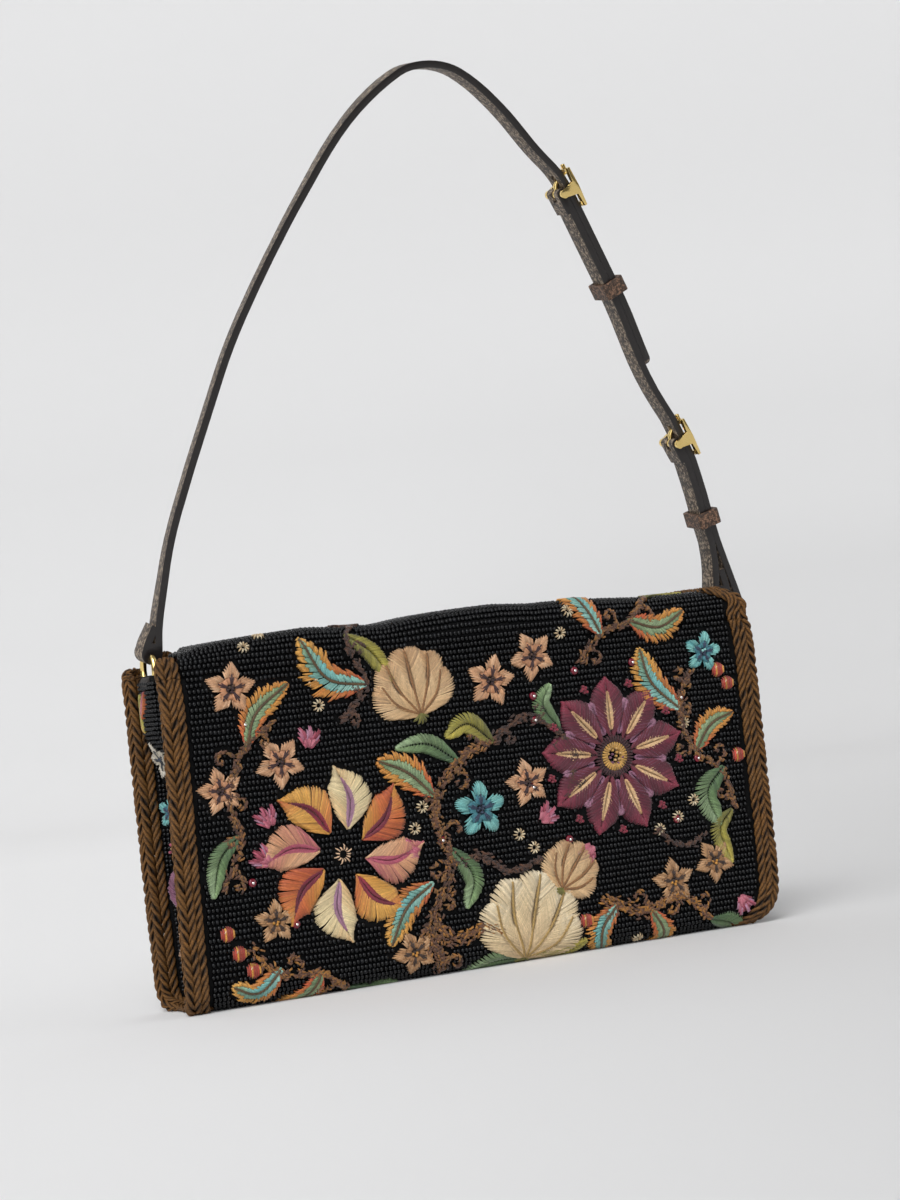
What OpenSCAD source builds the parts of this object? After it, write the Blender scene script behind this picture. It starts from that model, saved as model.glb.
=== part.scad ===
// Baguette bag: a beaded cloth body between braided trims, a two-part flap with a hidden magnetic
// snap, and a narrow leather shoulder strap with two buckles that rocks on a D-ring at each end.
// The origin is the middle of the underside, +Z is up, and the plain back panel faces -Y.

/* [Body] */
// Width over the end trims at the base
base_w = 262; // [250:1:270]
// Width over the end trims at the top
top_w = 258; // [248:1:268]
// Depth of the body at the base
base_d = 34.4; // [33:0.2:38]
// Height from the base to the top of the closed flap
body_h = 140; // [138:0.5:142]
// Thickness of the beaded cloth with its backing
shell_t = 2.4; // [1.8:0.1:2.6]
// Rounding between the base and the two long panels
base_r = 9; // [7:0.5:11]
// Height of the front panel that the flap covers
front_h = 127; // [115:1:127]

/* [Flap] */
// Outer radius of the two soft folds
fold_r = 8.5; // [8:0.1:9]
// Distance between the two fold axes
fold_gap = 24.3; // [23.5:0.1:28]
// Thickness of the flap's beaded cloth
flap_t = 2.2; // [1.6:0.1:2.2]
// Height of the flap's lower edge above the base
flap_z = 26; // [15:1:34]
// Rounding of the flap's lower corners
flap_corner_r = 20; // [14:1:30]

/* [Trim] */
// Width of the braided trim
trim_w = 9.5; // [8:0.5:10]
// How far the trim stands out from the cloth
trim_proud = 1.2; // [0.8:0.1:1.4]

/* [Strap] */
// Width of the leather strap
strap_w = 9.5; // [8:0.5:10]
// Thickness of one layer of the strap
strap_t = 2.8; // [2.4:0.1:2.8]
// Angle that the strap leans towards the back panel
strap_lean = 10; // [0:1:20]
// Length of a keeper along the strap
keeper_l = 6.5; // [5:0.5:9]

/* [Buckles] */
// Length of a buckle's frame
buckle_l = 16.8; // [16:0.2:19]
// Diameter of a buckle's bar
bar_d = 1.9; // [1.7:0.1:2.1]
// Thickness of a buckle's frame
frame_t = 1.8; // [1.4:0.1:2]

/* [Rings] */
// Distance of a D-ring from the middle of the bag
ring_x = 126; // [125:0.5:127]
// Height of a D-ring's centre
ring_z = 131; // [130.5:0.5:132]
// Radius of a D-ring to the middle of its wire
ring_r = 7; // [6.8:0.1:7.2]
// Diameter of a D-ring's wire
wire_d = 2.6; // [2.2:0.1:2.6]

/* [Snap] */
// Diameter of the magnetic snap
snap_d = 14; // [12:1:18]
// Height of the snap's centre
snap_z = 46; // [44:1:60]

/* [Hidden] */
$fn = 48;

beads = "#17181c";
braid = "#6e4f2c";
satin = "#5b2030";
leather = "#4a413a";
gold = "#d8b65a";

// Clearance between soft folds that move past each other
gap = 0.3;
// Running clearance of a pin in its bore
run = 0.05;
// Longer and taller than anything that it cuts
far = 400;

lining_t = 0.8;
flap_in = flap_t + lining_t;
board_size = [234, 16, 2];
lining_floor = shell_t + board_size[2];

// How much of a trim's width lies over the cloth's edge, and how deep the trim reaches inwards
seam = 5;
trim_in = 3.8;

// The folded end panel: where its middle and its seams stand, how high it goes, its thickness
gusset_x = ring_x - 5.5;
gusset_seam_x = ring_x - 2.5;
gusset_h = 126;
gusset_t = 1.6;
lining_half_w = gusset_x - gusset_t;

// Axes of the two soft folds, as [y, z]
near_fold = [-12, body_h - fold_r];
far_fold = near_fold + [fold_gap, 0];
roll_sweep = 125;
// Centres of the rounded base corners and of the circle that sets the front panel's top, as [y, z]
near_base = [base_r - base_d / 2, base_r];
far_base = [-near_base[0], base_r];
flap_back_y = far_fold[0] + fold_r - flap_in;
front_top = [flap_back_y - 0.9 - fold_r, front_h];

// The flap narrows on the near fold, to pass between the strap's ends: its outer edge and its
// trim's inner edge, as [x, y]
flap_half_w = 118;
flap_edge = [[132, -24], [129, -22], [127.6, -20.6], [124.4, -19.2], [120.6, -17.4],
             [118.6, -15.2], [flap_half_w, -12.5], [flap_half_w, 40]];
flap_inner_w = flap_half_w - trim_w;
braid_edge = [[120, -24], [119.4, -22], [118, -20.6], [115, -18.4], [111.4, -15.6],
              [109.2, -12.6], [flap_inner_w, -9], [flap_inner_w, 40]];

// The strap in its own plane, as [x, height above the ring line]. Each layer lies inside the one
// before it, and the doubled part runs straight along strap_dir, strap_slope from upright.
strap_slope = 27.3;
strap_dir = [sin(strap_slope), -cos(strap_slope)];
strap_out = [-strap_dir[1], strap_dir[0]];
layer = strap_t + 0.1;
upper_bar = [59.2, 177.3];
lower_bar = upper_bar - layer * strap_out + 115 * strap_dir;
long_tail = 81;
upper_keeper_at = 44;
foot_x = ring_x - wire_d / 2 - run - strap_t / 2;
long_points = [[-foot_x, ring_r], [-122.8, 16], [-121, 27], [-116, 50], [-108, 73], [-99, 96],
               [-88.4, 122], [-74, 149], [-56, 178], [-36, 205.5], [-14, 223.8], [-1, 227],
               [12, 224], [30.3, 210.2], [46.8, 193.2], [55.4, 184.2]];
tail_points = [[115.4, 60.2], [118.4, 51], [121.4, 40.5], [124.7, 30.2], [128, 21.5], [131.4, 13],
               [134.4, 5], [135.6, 1]];
foot_points = [[123.1, 22], [123.5, 15], [foot_x, ring_r]];

// Points on an arc about c
function arc(c, r, a0, a1, n = 10) =
    [for (i = [0:n]) let (a = a0 + (a1 - a0) * i / n) c + r * [cos(a), sin(a)]];
function flip(p) = [for (i = [len(p) - 1:-1:0]) p[i]];
function mirror_x(p) = [for (q = p) [-q[0], q[1]]];
// The way that a line touching two circles faces, on their left (side 1) or right (side -1)
function touch_angle(c1, r1, c2, r2, side) =
    let (d = c2 - c1) atan2(d[1], d[0]) + side * acos((r1 - r2) / norm(d));
// The direction of a route at its point i
function heading(p, i) =
    let (a = p[max(i - 1, 0)], b = p[min(i + 1, len(p) - 1)])
    (b - a) / (norm(b - p[i]) + norm(p[i] - a));
// A smooth route through points, with n steps between each two
function smooth(p, n = 5) = [
    for (i = [0:len(p) - 2], k = [0:n - 1])
        let (t = k / n, l = norm(p[i + 1] - p[i]), u = heading(p, i) * l, v = heading(p, i + 1) * l)
        p[i] * (1 - 3 * t * t + 2 * t * t * t) + p[i + 1] * (3 * t * t - 2 * t * t * t)
            + u * (t - 2 * t * t + t * t * t) + v * (t * t * t - t * t),
    p[len(p) - 1]
];
// A route moved to the left of its direction by d
function beside(p, d) =
    [for (i = [0:len(p) - 1]) let (h = heading(p, i)) p[i] + d * [-h[1], h[0]] / norm(h)];
function band(p, t) = concat(beside(p, t / 2), flip(beside(p, -t / 2)));
// A point of a buckle, d along the doubled strap and n out from the passing layer's middle
function at_bar(bar, d, n) = bar + d * strap_dir + n * strap_out;

module along_x(w = far) rotate([90, 0, 90]) linear_extrude(w, center = true) children();
module along_y(w = far) rotate([90, 0, 0]) linear_extrude(w, center = true) children();
module both_ends() {
    children();
    mirror([1, 0, 0]) children();
}

// Section of the cloth body as one outline from its near top to its far top, moved out by o
function body_side(o) =
    let (near_a = touch_angle(near_base, base_r, near_fold, fold_r, 1),
         far_a = touch_angle(far_base, base_r, front_top, fold_r, -1))
    concat(
        [near_fold + (fold_r + o) * [cos(near_a), sin(near_a)]],
        arc(near_base, base_r + o, near_a, 270),
        arc(far_base, base_r + o, 270, 360 + far_a),
        [front_top + (fold_r + o) * [cos(far_a), sin(far_a)]]);
module body_layer(outer, inner) polygon(concat(body_side(outer), flip(body_side(inner))));
// The room inside the cloth body, moved in by o, from a floor up to a top
module room(o, floor_z, top_z = far) intersection() {
    side = body_side(-o);
    polygon(concat([[side[0][0], far]], side, [[side[len(side) - 1][0], far]]));
    translate([-far / 2, floor_z]) square([far, top_z - floor_z]);
}
// Front view of the body, moved in by o, with rounded lower corners
module body_front(o) {
    r = 7;
    foot = base_w / 2 - o;
    slope = (base_w - top_w) / 2 / body_h;
    right = concat(arc([foot - r, r], r, 270, 360, 6), [[foot - slope * far, far]]);
    polygon(concat(right, flip(mirror_x(right))));
}
// The hollow round a fold's axis in which the next panel's roll turns, wider under the trims
module fold_hollow(axis) {
    along_x() translate(axis) circle(fold_r + gap);
    both_ends() translate([flap_inner_w - 1, 0, 0]) rotate([90, 0, 90])
        linear_extrude(far) translate(axis) circle(fold_r + trim_proud + gap);
}

// Body

module outer_shell() color(beads) difference() {
    intersection() {
        along_x() body_layer(0, -shell_t);
        along_y() body_front(trim_w - seam);
    }
    fold_hollow(near_fold);
    snap_at(front_skin_y + 1) cylinder(d = snap_d, h = shell_t + 2);
}

module base_board() color("#8c8478")
    translate([-board_size[0] / 2, -board_size[1] / 2, shell_t]) cube(board_size);

module lining() color(satin) difference() {
    along_x(2 * lining_half_w) room(shell_t, lining_floor, front_h);
    along_x(2 * (lining_half_w - lining_t)) room(shell_t + lining_t, lining_floor + lining_t);
    fold_hollow(near_fold);
    both_ends() translate([lining_half_w - lining_t, -far / 2, gusset_h - 4]) cube(far);
}

// An end panel: cloth folded inwards between the two flanges
module gusset() color(beads) difference() {
    intersection() {
        linear_extrude(gusset_h) polygon(concat(gusset_fold(0), flip(gusset_fold(gusset_t))));
        along_x() room(trim_in, trim_in);
    }
    fold_hollow(near_fold);
}
function gusset_fold(o) = let (m = gusset_x - o, s = gusset_seam_x - o)
    [[s, -30], [s, -14], [m, -7], [m, 7], [s, 14], [s, 30]];
module left_gusset() mirror([1, 0, 0]) gusset();
module right_gusset() gusset();

// The braid that closes an end's seams: a flat U round the body, with the cloth's edge inside it
module end_trim() color(braid) difference() {
    intersection() {
        along_x() body_layer(trim_proud, -trim_in);
        along_y() body_front(0);
        translate([0, -far / 2, 0]) cube(far);
    }
    along_y() body_front(trim_w);
    intersection() {
        along_x() body_layer(0, -shell_t);
        along_y() body_front(trim_w - seam);
    }
    fold_hollow(near_fold);
}
module left_trim() mirror([1, 0, 0]) end_trim();
module right_trim() end_trim();

// A folded strip over the front panel's top edge
front_skin_y = front_top[0] + fold_r;
module front_binding() color("#3a2a22") {
    wall = shell_t + lining_t;
    w = 2 * (base_w / 2 - trim_w - 4.5);
    along_x(w) difference() {
        translate([front_skin_y - wall - 0.8, front_h - 6]) square([wall + 1.2, 7]);
        body_layer(0, -wall);
    }
}

// Magnetic snap
module snap_at(y) translate([0, y, snap_z]) rotate([90, 0, 0]) children();
module snap_socket() color(gold) snap_at(flap_back_y - 0.3) difference() {
    cylinder(d = snap_d, h = 2.7);
    translate([0, 0, -1]) cylinder(r = 3.4, h = 2.7);
}
stud_t = 1.6;
module snap_stud() color(gold) snap_at(flap_back_y + stud_t) {
    cylinder(d = snap_d, h = stud_t);
    translate([0, 0, stud_t]) cylinder(r1 = 2.4, r2 = 1.8, h = 1.4);
}

// D-rings and the tabs that hold them

ring_a = 135;
bar_z = ring_z + ring_r * cos(ring_a);
module ring_bar(d) translate([ring_x, 0, bar_z]) rotate([90, 0, 0])
    cylinder(d = d, h = 2 * ring_r * sin(ring_a), center = true);
module ring() color(gold) {
    translate([ring_x, 0, ring_z]) rotate([90, 0, 90]) rotate(90 - ring_a)
        rotate_extrude(angle = 2 * ring_a) translate([ring_r, 0]) circle(d = wire_d);
    ring_bar(wire_d);
    for (s = [-1, 1])
        translate([ring_x, s * ring_r * sin(ring_a), bar_z]) sphere(d = wire_d + 0.3);
}
module left_ring() mirror([1, 0, 0]) ring();
module right_ring() ring();

module ring_tab() color(leather) difference() {
    w = 8.4;
    r = wire_d / 2 + run + 1.8;
    along_y(w) {
        translate([ring_x, bar_z]) circle(r);
        polygon([[ring_x - r, bar_z], [gusset_x, bar_z - 9], [gusset_x, bar_z - 21],
                 [gusset_x + 3.6, bar_z - 21], [gusset_x + 3.6, bar_z - 9], [ring_x + r, bar_z]]);
    }
    ring_bar(wire_d + 2 * run);
}
module left_ring_tab() mirror([1, 0, 0]) ring_tab();
module right_ring_tab() ring_tab();

// Flap

// Plan view of the flap between two edges
module flap_plan(outer, inner) linear_extrude(far) polygon(concat(outer, inner));
module flap_plate(edge) flap_plan(edge, flip(mirror_x(edge)));
function moved_in(p, d) = [for (q = p) q - [d, 0]];

// Section of the flap's top part: a roll round the near fold and a flat run to the far fold
module top_layer(outer, inner) {
    roll_end = 90 + roll_sweep;
    polygon(concat(
        arc(near_fold, outer, roll_end, 90, 16), [[far_fold[0], near_fold[1] + outer]],
        [[far_fold[0], near_fold[1] + inner]], arc(near_fold, inner, 90, roll_end, 16)));
}
module flap_top_cover() color(beads) difference() {
    intersection() {
        along_x() top_layer(fold_r, fold_r - flap_t);
        flap_plate(moved_in(flap_edge, trim_w - seam));
    }
    fold_hollow(far_fold);
}
module flap_top_lining() color(satin) difference() {
    intersection() {
        along_x() top_layer(fold_r - flap_t, fold_r - flap_in);
        flap_plate(moved_in(flap_edge, trim_w - seam));
    }
    fold_hollow(far_fold);
}
module flap_top_trim() color(braid) difference() {
    intersection() {
        along_x() top_layer(fold_r + trim_proud, fold_r - flap_in);
        both_ends() flap_plan(flap_edge, flip(braid_edge));
    }
    intersection() {
        along_x() top_layer(fold_r, fold_r - flap_in);
        flap_plate(moved_in(flap_edge, trim_w - seam));
    }
    fold_hollow(far_fold);
}

// Section of the flap's front part: a roll over the far fold and a straight drop to z
module front_layer(outer, inner, z) polygon(concat(
    arc(far_fold, outer, roll_sweep, 0, 16), [[far_fold[0] + outer, z], [far_fold[0] + inner, z]],
    arc(far_fold, inner, 0, roll_sweep, 16)));
// Front view of the flap's front part, moved in by o
module flap_front_view(o) {
    r = flap_corner_r;
    right = concat(arc([flap_half_w - r, flap_z + r], r - o, 270, 360, 8), [[flap_half_w - o, far]]);
    polygon(concat(right, flip(mirror_x(right))));
}
module flap_front_cover() color(beads) difference() {
    intersection() {
        along_x() front_layer(fold_r, fold_r - flap_t, 0);
        along_y() flap_front_view(trim_w - seam);
    }
    snap_at(flap_back_y + stud_t) cylinder(d = snap_d, h = 3);
}
module flap_front_lining() color(satin) difference() {
    intersection() {
        along_x() front_layer(fold_r - flap_t, fold_r - flap_in, 0);
        along_y() flap_front_view(trim_w - seam);
    }
    snap_at(flap_back_y + stud_t) cylinder(d = snap_d, h = 3);
}
module flap_front_trim() color(braid) difference() {
    intersection() {
        along_x() front_layer(fold_r + trim_proud, fold_r - flap_in, 0);
        along_y() flap_front_view(0);
    }
    along_y() flap_front_view(trim_w);
    intersection() {
        along_x() front_layer(fold_r, fold_r - flap_in, 0);
        along_y() flap_front_view(trim_w - seam);
    }
}

// Strap

// Stands what is drawn in the strap's plane, w wide, in its leaning place
module lean() translate([0, 0, ring_z]) rotate([strap_lean, 0, 0]) children();
module leaf(w = strap_w) for (i = [0:$children - 1])
    rotate([90, 0, 0]) linear_extrude(w, center = true) children(i);

long_route = smooth(concat(long_points, [upper_bar, upper_bar + long_tail * strap_dir]));
middle_route = smooth(concat([upper_bar - layer * strap_out, lower_bar, lower_bar + 8 * strap_dir],
                             tail_points));
// The lower strap starts at the lower bar, inside the middle strap's tail, and parts from it
lower_start = 5;
lower_end = 29;
shared = beside(middle_route, -layer);
lower_route = concat([for (i = [lower_start:lower_end]) shared[i]],
                     smooth(concat([shared[lower_end + 1]], foot_points)));

// The strap's end round a D-ring's wire, with its turned-back layer, at the right
module ring_turn(back) leaf() {
    translate([ring_x, ring_r]) circle(wire_d / 2 + run + strap_t);
    polygon(band(smooth(back, 4), strap_t));
}
module ring_groove() translate([ring_x, 0, 0]) rotate([0, 90, 0])
    rotate_extrude() translate([ring_r, 0]) circle(d = wire_d + 2 * run);

// A strap's end folded round a buckle's bar: its outside, then what is cut from it
fold_t = 1.2;
bar_n = -(strap_t / 2 + 0.1 + fold_t + run + bar_d / 2);
turn_r = bar_d / 2 + run + fold_t;
module bar_turn(bar) leaf() {
    translate(at_bar(bar, 0, bar_n)) circle(turn_r);
    polygon([at_bar(bar, 0, bar_n - turn_r), at_bar(bar, 8.5, -layer - strap_t / 2 - fold_t),
             at_bar(bar, 8.5, -layer), at_bar(bar, 0, bar_n + turn_r)]);
}
module at_pin(bar) {
    p = at_bar(bar, 0, bar_n);
    translate([p[0], 0, p[1]]) rotate([90, 0, 0]) children();
}
tongue_w = 2;
module bar_cuts(bar) {
    at_pin(bar) cylinder(d = bar_d + 2 * run, h = far, center = true);
    leaf(tongue_w + 0.6) polygon([at_bar(bar, -9, 9), at_bar(bar, 2.6, 9), at_bar(bar, 2.6, -9),
                                  at_bar(bar, -9, -9)]);
}
// Punched holes through a straight stretch, at distances from the bar
module punched(bar, places) for (d = places) {
    p = at_bar(bar, d, 0);
    translate([p[0], 0, p[1]]) rotate([0, 90 - strap_slope, 0])
        cylinder(d = 2.6, h = strap_t + 2, center = true);
}
// The slot that the tongue stands in
module tongue_slot(bar) leaf(tongue_w + 0.6)
    polygon([at_bar(bar, -7, 2), at_bar(bar, -2, 2), at_bar(bar, -2, -2), at_bar(bar, -7, -2)]);

// What is cut from a strap's free end to round it, at its end p, which points along dir
tip_r = 5.2;
module tip_cut(p, dir) translate([p[0], 0, p[1]])
    rotate([0, 90 - atan2(dir[1], dir[0]), 0]) difference() {
        translate([0, 0, 0.5 - tip_r / 2]) cube([strap_t + 1, strap_w + 1, tip_r + 1], center = true);
        translate([0, 0, -tip_r]) rotate([0, 90, 0]) cylinder(r = tip_r, h = far, center = true);
    }
module long_strap() color(leather) lean() difference() {
    union() {
        leaf() polygon(band(long_route, strap_t));
        mirror([1, 0, 0])
            ring_turn([[ring_x + 2.6, ring_r], [127.7, 10.5], [126, 14], [124.2, 17.5]]);
    }
    mirror([1, 0, 0]) ring_groove();
    tongue_slot(upper_bar);
    punched(upper_bar, [14, 30, 46, 62]);
    tip_cut(upper_bar + long_tail * strap_dir, strap_dir);
}
module middle_strap() color(leather) lean() difference() {
    union() {
        leaf() polygon(band(middle_route, strap_t));
        bar_turn(upper_bar);
    }
    bar_cuts(upper_bar);
    tongue_slot(lower_bar);
    punched(lower_bar, [14]);
    last = len(tail_points) - 1;
    tip_cut(tail_points[last], tail_points[last] - tail_points[last - 1]);
}
module lower_strap() color(leather) lean() difference() {
    union() {
        leaf() polygon(band(lower_route, strap_t));
        bar_turn(lower_bar);
        ring_turn([[ring_x + 2.75, ring_r], [128.3, 11], [127.2, 14.5], [126, 18]]);
    }
    ring_groove();
    bar_cuts(lower_bar);
}

// A buckle: an arched frame over the strap, with stems down to the bar under it
frame_n = strap_t / 2 + 0.2;
module buckle(bar) color(gold) lean() {
    half = buckle_l / 2;
    arm_w = 1.8;
    inside = strap_w / 2 + 0.6;
    top = frame_n + frame_t;
    inset = 0.15;
    for (s = [-1, 1]) translate([0, s * (inside + arm_w / 2), 0]) leaf(arm_w) {
        polygon([for (q = [[-half, 0.8], [-2.8, 0.3], [-1.5, bar_n], [1.5, bar_n], [2.8, 0.3],
                           [half, 0.8], [half, top], [0, top + 0.4], [-half, top]])
            at_bar(bar, q[0], q[1])]);
        translate(at_bar(bar, 0, bar_n)) circle(1.8);
    }
    leaf(2 * inside + 1) for (d = [inset - half, half - inset - frame_t])
        polygon([at_bar(bar, d, frame_n), at_bar(bar, d + frame_t, frame_n),
                 at_bar(bar, d + frame_t, top - inset), at_bar(bar, d, top - inset)]);
    at_pin(bar) cylinder(d = bar_d, h = 2 * inside + 1, center = true);
}
module upper_buckle() buckle(upper_bar);
module lower_buckle() buckle(lower_bar);

// A tongue: a ring on the bar, and an arm through the strap that rests on the frame's end
module tongue(bar) color(gold) lean() difference() {
    rest_n = frame_n + frame_t + 0.75;
    leaf(tongue_w) {
        translate(at_bar(bar, 0, bar_n)) circle(bar_d / 2 + 0.9);
        polygon(band([for (q = [[0, bar_n], [-3.4, bar_n + 0.9], [-5, -0.5], [-5.5, 2.2],
                                [-5.7, rest_n], [-9.4, rest_n]]) at_bar(bar, q[0], q[1])], 1.3));
    }
    at_pin(bar) cylinder(d = bar_d + 2 * run, h = far, center = true);
}
module upper_tongue() tongue(upper_bar);
module lower_tongue() tongue(lower_bar);

// A keeper: a leather loop round both layers, at p, which is the middle between them
module keeper(p, dir) color("#5a4334") lean()
    translate([p[0], 0, p[1]]) rotate([0, 90 - atan2(dir[1], dir[0]), 0]) difference() {
        inner = [2 * strap_t + 0.1 + 0.8, strap_w + 0.8];
        wall = 1.8;
        corner_r = 1.5;
        linear_extrude(keeper_l, center = true) hull() for (sx = [-1, 1], sy = [-1, 1])
            translate([sx * (inner[0] / 2 + wall - corner_r), sy * (inner[1] / 2 + wall - corner_r)])
                circle(corner_r);
        cube([inner[0], inner[1], far], center = true);
    }
module upper_keeper() keeper(at_bar(upper_bar, upper_keeper_at, -layer / 2), strap_dir);
keeper_leg = tail_points[3] - tail_points[1];
module lower_keeper() keeper(tail_points[2] + layer / 2 * [keeper_leg[1], -keeper_leg[0]]
    / norm(keeper_leg), keeper_leg);

outer_shell();
base_board();
lining();
left_gusset();
right_gusset();
left_trim();
right_trim();
front_binding();
left_ring_tab();
right_ring_tab();
left_ring();
right_ring();
snap_socket();
flap_top_cover();
flap_top_lining();
flap_top_trim();
flap_front_cover();
flap_front_lining();
flap_front_trim();
snap_stud();
long_strap();
middle_strap();
lower_strap();
upper_buckle();
lower_buckle();
upper_tongue();
lower_tongue();
upper_keeper();
lower_keeper();
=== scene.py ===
"""Looks of the beaded baguette bag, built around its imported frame."""

import math

import bmesh
import bpy
import numpy as np
from mathutils import Matrix, Vector


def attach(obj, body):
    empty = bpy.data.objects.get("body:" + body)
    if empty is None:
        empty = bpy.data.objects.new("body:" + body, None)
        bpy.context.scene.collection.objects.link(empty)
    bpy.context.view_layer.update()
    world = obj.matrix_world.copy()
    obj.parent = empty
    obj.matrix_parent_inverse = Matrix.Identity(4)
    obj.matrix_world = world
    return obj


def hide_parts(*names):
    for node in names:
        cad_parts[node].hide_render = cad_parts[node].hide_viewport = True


bl_info = {
    "name": "Beaded Baguette Bag",
    "version": (1, 0, 0),
    "blender": (4, 5, 0),
    "location": "View3D > Sidebar > Bag",
    "description": "Builds the cloth, beads, embroidery, braid, leather and gold of a small bag",
    "category": "Add Mesh",
}

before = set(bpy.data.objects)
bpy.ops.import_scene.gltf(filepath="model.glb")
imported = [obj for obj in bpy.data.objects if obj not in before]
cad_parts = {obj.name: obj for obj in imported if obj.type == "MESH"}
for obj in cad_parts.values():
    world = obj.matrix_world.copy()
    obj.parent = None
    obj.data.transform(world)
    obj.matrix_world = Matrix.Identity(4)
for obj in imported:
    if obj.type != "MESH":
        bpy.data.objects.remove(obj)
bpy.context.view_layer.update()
MM = 0.001


def linear(hex_colour):
    """An sRGB hex colour as linear red, green and blue."""
    parts = [int(hex_colour[i:i + 2], 16) / 255 for i in (1, 3, 5)]
    return [c / 12.92 if c <= 0.04045 else ((c + 0.055) / 1.055) ** 2.4 for c in parts]


# Settings


def colour_property(name, description, value):
    """A colour, given here in hex."""
    return bpy.props.FloatVectorProperty(
        name=name, description=description, subtype="COLOR", size=3, min=0, max=1,
        default=linear(value))


def size_property(name, description, value):
    """A length, given here in millimetres."""
    return bpy.props.FloatProperty(
        name=name, description=description, subtype="DISTANCE", unit="LENGTH", precision=5,
        default=value * MM, min=0)


def mm(value):
    """A length from the settings in millimetres."""
    return round(value / MM, 3)


class BagClothSettings(bpy.types.PropertyGroup):
    backing: colour_property("Backing cloth", "Colour of the cloth under the beads", "#08080A")
    lining: colour_property("Lining", "Colour of the satin's raised floats", "#63202F")
    lining_deep: colour_property("Lining, deep", "Colour between the satin's floats", "#43101E")
    wall: size_property("Cloth thickness", "Thickness of the back's and front's cloth", 0.8)
    flap_wall: size_property("Flap cloth thickness", "Thickness of the flap's cloth", 0.6)
    satin_wall: size_property("Satin thickness", "Thickness of the satin", 0.5)


class BagBeadSettings(bpy.types.PropertyGroup):
    glass: colour_property("Glass", "Colour of most beads", "#08080A")
    pale_glass: colour_property("Palest glass", "Colour of the palest beads", "#131417")
    row: size_property("Row spacing", "Distance from one row of beads to the next", 2.3)
    step: size_property("Bead spacing", "Distance from bead to bead along a row", 1.72)


class BagBraidSettings(bpy.types.PropertyGroup):
    warm: colour_property("Warm strands", "Colour of the more golden strands", "#644218")
    cool: colour_property("Cool strands", "Colour of the duller strands", "#533A1E")
    twist: size_property("Twist", "Length in which a cord turns once", 11.4)


class BagLeatherSettings(bpy.types.PropertyGroup):
    strap: colour_property("Strap", "Colour of the strap's grain", "#5A4C3F")
    strap_dark: colour_property("Strap, dark", "Colour of the strap's dark flecks", "#2E2721")
    strap_light: colour_property("Strap, rubbed", "Colour where the strap's grain is rubbed",
                                 "#9A8A76")
    keeper: colour_property("Keepers", "Colour of the keepers and the binding", "#4D382A")
    edge: colour_property("Edge paint", "Colour of the painted cut edges", "#1E1A19")
    rounding: size_property("Edge rounding", "How far the strap's edges are rounded", 0.45)


class BagMetalSettings(bpy.types.PropertyGroup):
    gold: colour_property("Gold", "Colour of the bright gold plate", "#F8DE9C")
    gold_deep: colour_property("Gold, deep", "Colour of the deeper gold plate", "#EBC873")
    buckle_rounding: size_property("Buckle rounding", "How far the buckles' edges are rounded", 0.4)


class BagStageSettings(bpy.types.PropertyGroup):
    floor: colour_property("Floor", "Colour of the floor and backdrop", "#ECEBEA")
    sky: colour_property("Surrounding light", "Colour of the light from all sides", "#F1F3F6")
    sky_power: bpy.props.FloatProperty(
        name="Surrounding light", description="Strength of the light from all sides", default=0.14,
        min=0)
    window_power: bpy.props.FloatProperty(
        name="Windows", description="Strength of the broad lights round the camera", default=1.0,
        min=0)
    key_power: bpy.props.FloatProperty(
        name="Key light", description="Strength of the large soft light", default=1.1, min=0)


SETTINGS = {"bag_stage": BagStageSettings, "bag_cloth": BagClothSettings,
            "bag_beads": BagBeadSettings, "bag_braid": BagBraidSettings,
            "bag_leather": BagLeatherSettings, "bag_metal": BagMetalSettings}


# The bag's section as the CAD source has it, in millimetres

NEAR_FOLD = np.array([-12.0, 131.5])
FAR_FOLD = np.array([12.3, 131.5])
FOLD_R = 8.5
BASE_R = 9.0
NEAR_BASE = np.array([-8.2, 9.0])
FAR_BASE = np.array([8.2, 9.0])
PANEL_ANGLE = 181.54   # the back panel's outward angle
FLAP_Y = 20.8          # the flap's outer side, and the height of its lower edge
FLAP_LOW = 26.0
FLAP_HALF = 118        # half the flap's width, and the radius of its lower corners
FLAP_CORNER = 20
TRIM_W = 9.5
TRIM_GAP = 0.3         # from the braid to the nearest beads
UNDER_TRIM = 3.4       # how far the backing cloth goes under the braid
LEFT_CORNER = 4.0      # radii of the trims' lower corners
RIGHT_CORNER = 17.0
BACKING = 1.6          # the beads' height above the backing cloth
SNAP_S, SNAP_R = 59, 8   # the snap's place along the front panel, and its bare round
LEAN = math.radians(10)  # the strap's lean towards the camera
RING_Z = 131             # the height of the D-rings' line, about which the strap leans
STRAP_HALF = 4.75


def arc_points(centre, radius, a0, a1, step=1.5):
    """Points and outward angles of an arc, in degrees."""
    n = max(2, int(abs(a1 - a0) / step))
    return [(*(centre + radius * np.array([math.cos(math.radians(a)), math.sin(math.radians(a))])), a)
            for a in np.linspace(a0, a1, n)]


class Section:
    """A curve in the plane y, z with its outward angle, found by the length along it."""

    def __init__(self, points):
        p = np.array(points, float)
        keep = [0]
        for i in range(1, len(p)):
            if np.hypot(*(p[i, :2] - p[keep[-1], :2])) > 1e-4:
                keep.append(i)
        p = p[keep]
        self.y, self.z, self.a = p[:, 0], p[:, 1], np.radians(p[:, 2])
        self.s = np.concatenate([[0], np.cumsum(np.hypot(np.diff(self.y), np.diff(self.z)))])
        self.length = self.s[-1]

    def at(self, s, out=0.0):
        """y and z at length s, moved out by out, and the normal's y and z."""
        y, z, a = (np.interp(s, self.s, v) for v in (self.y, self.z, self.a))
        return y + out * np.cos(a), z + out * np.sin(a), np.cos(a), np.sin(a)


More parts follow.
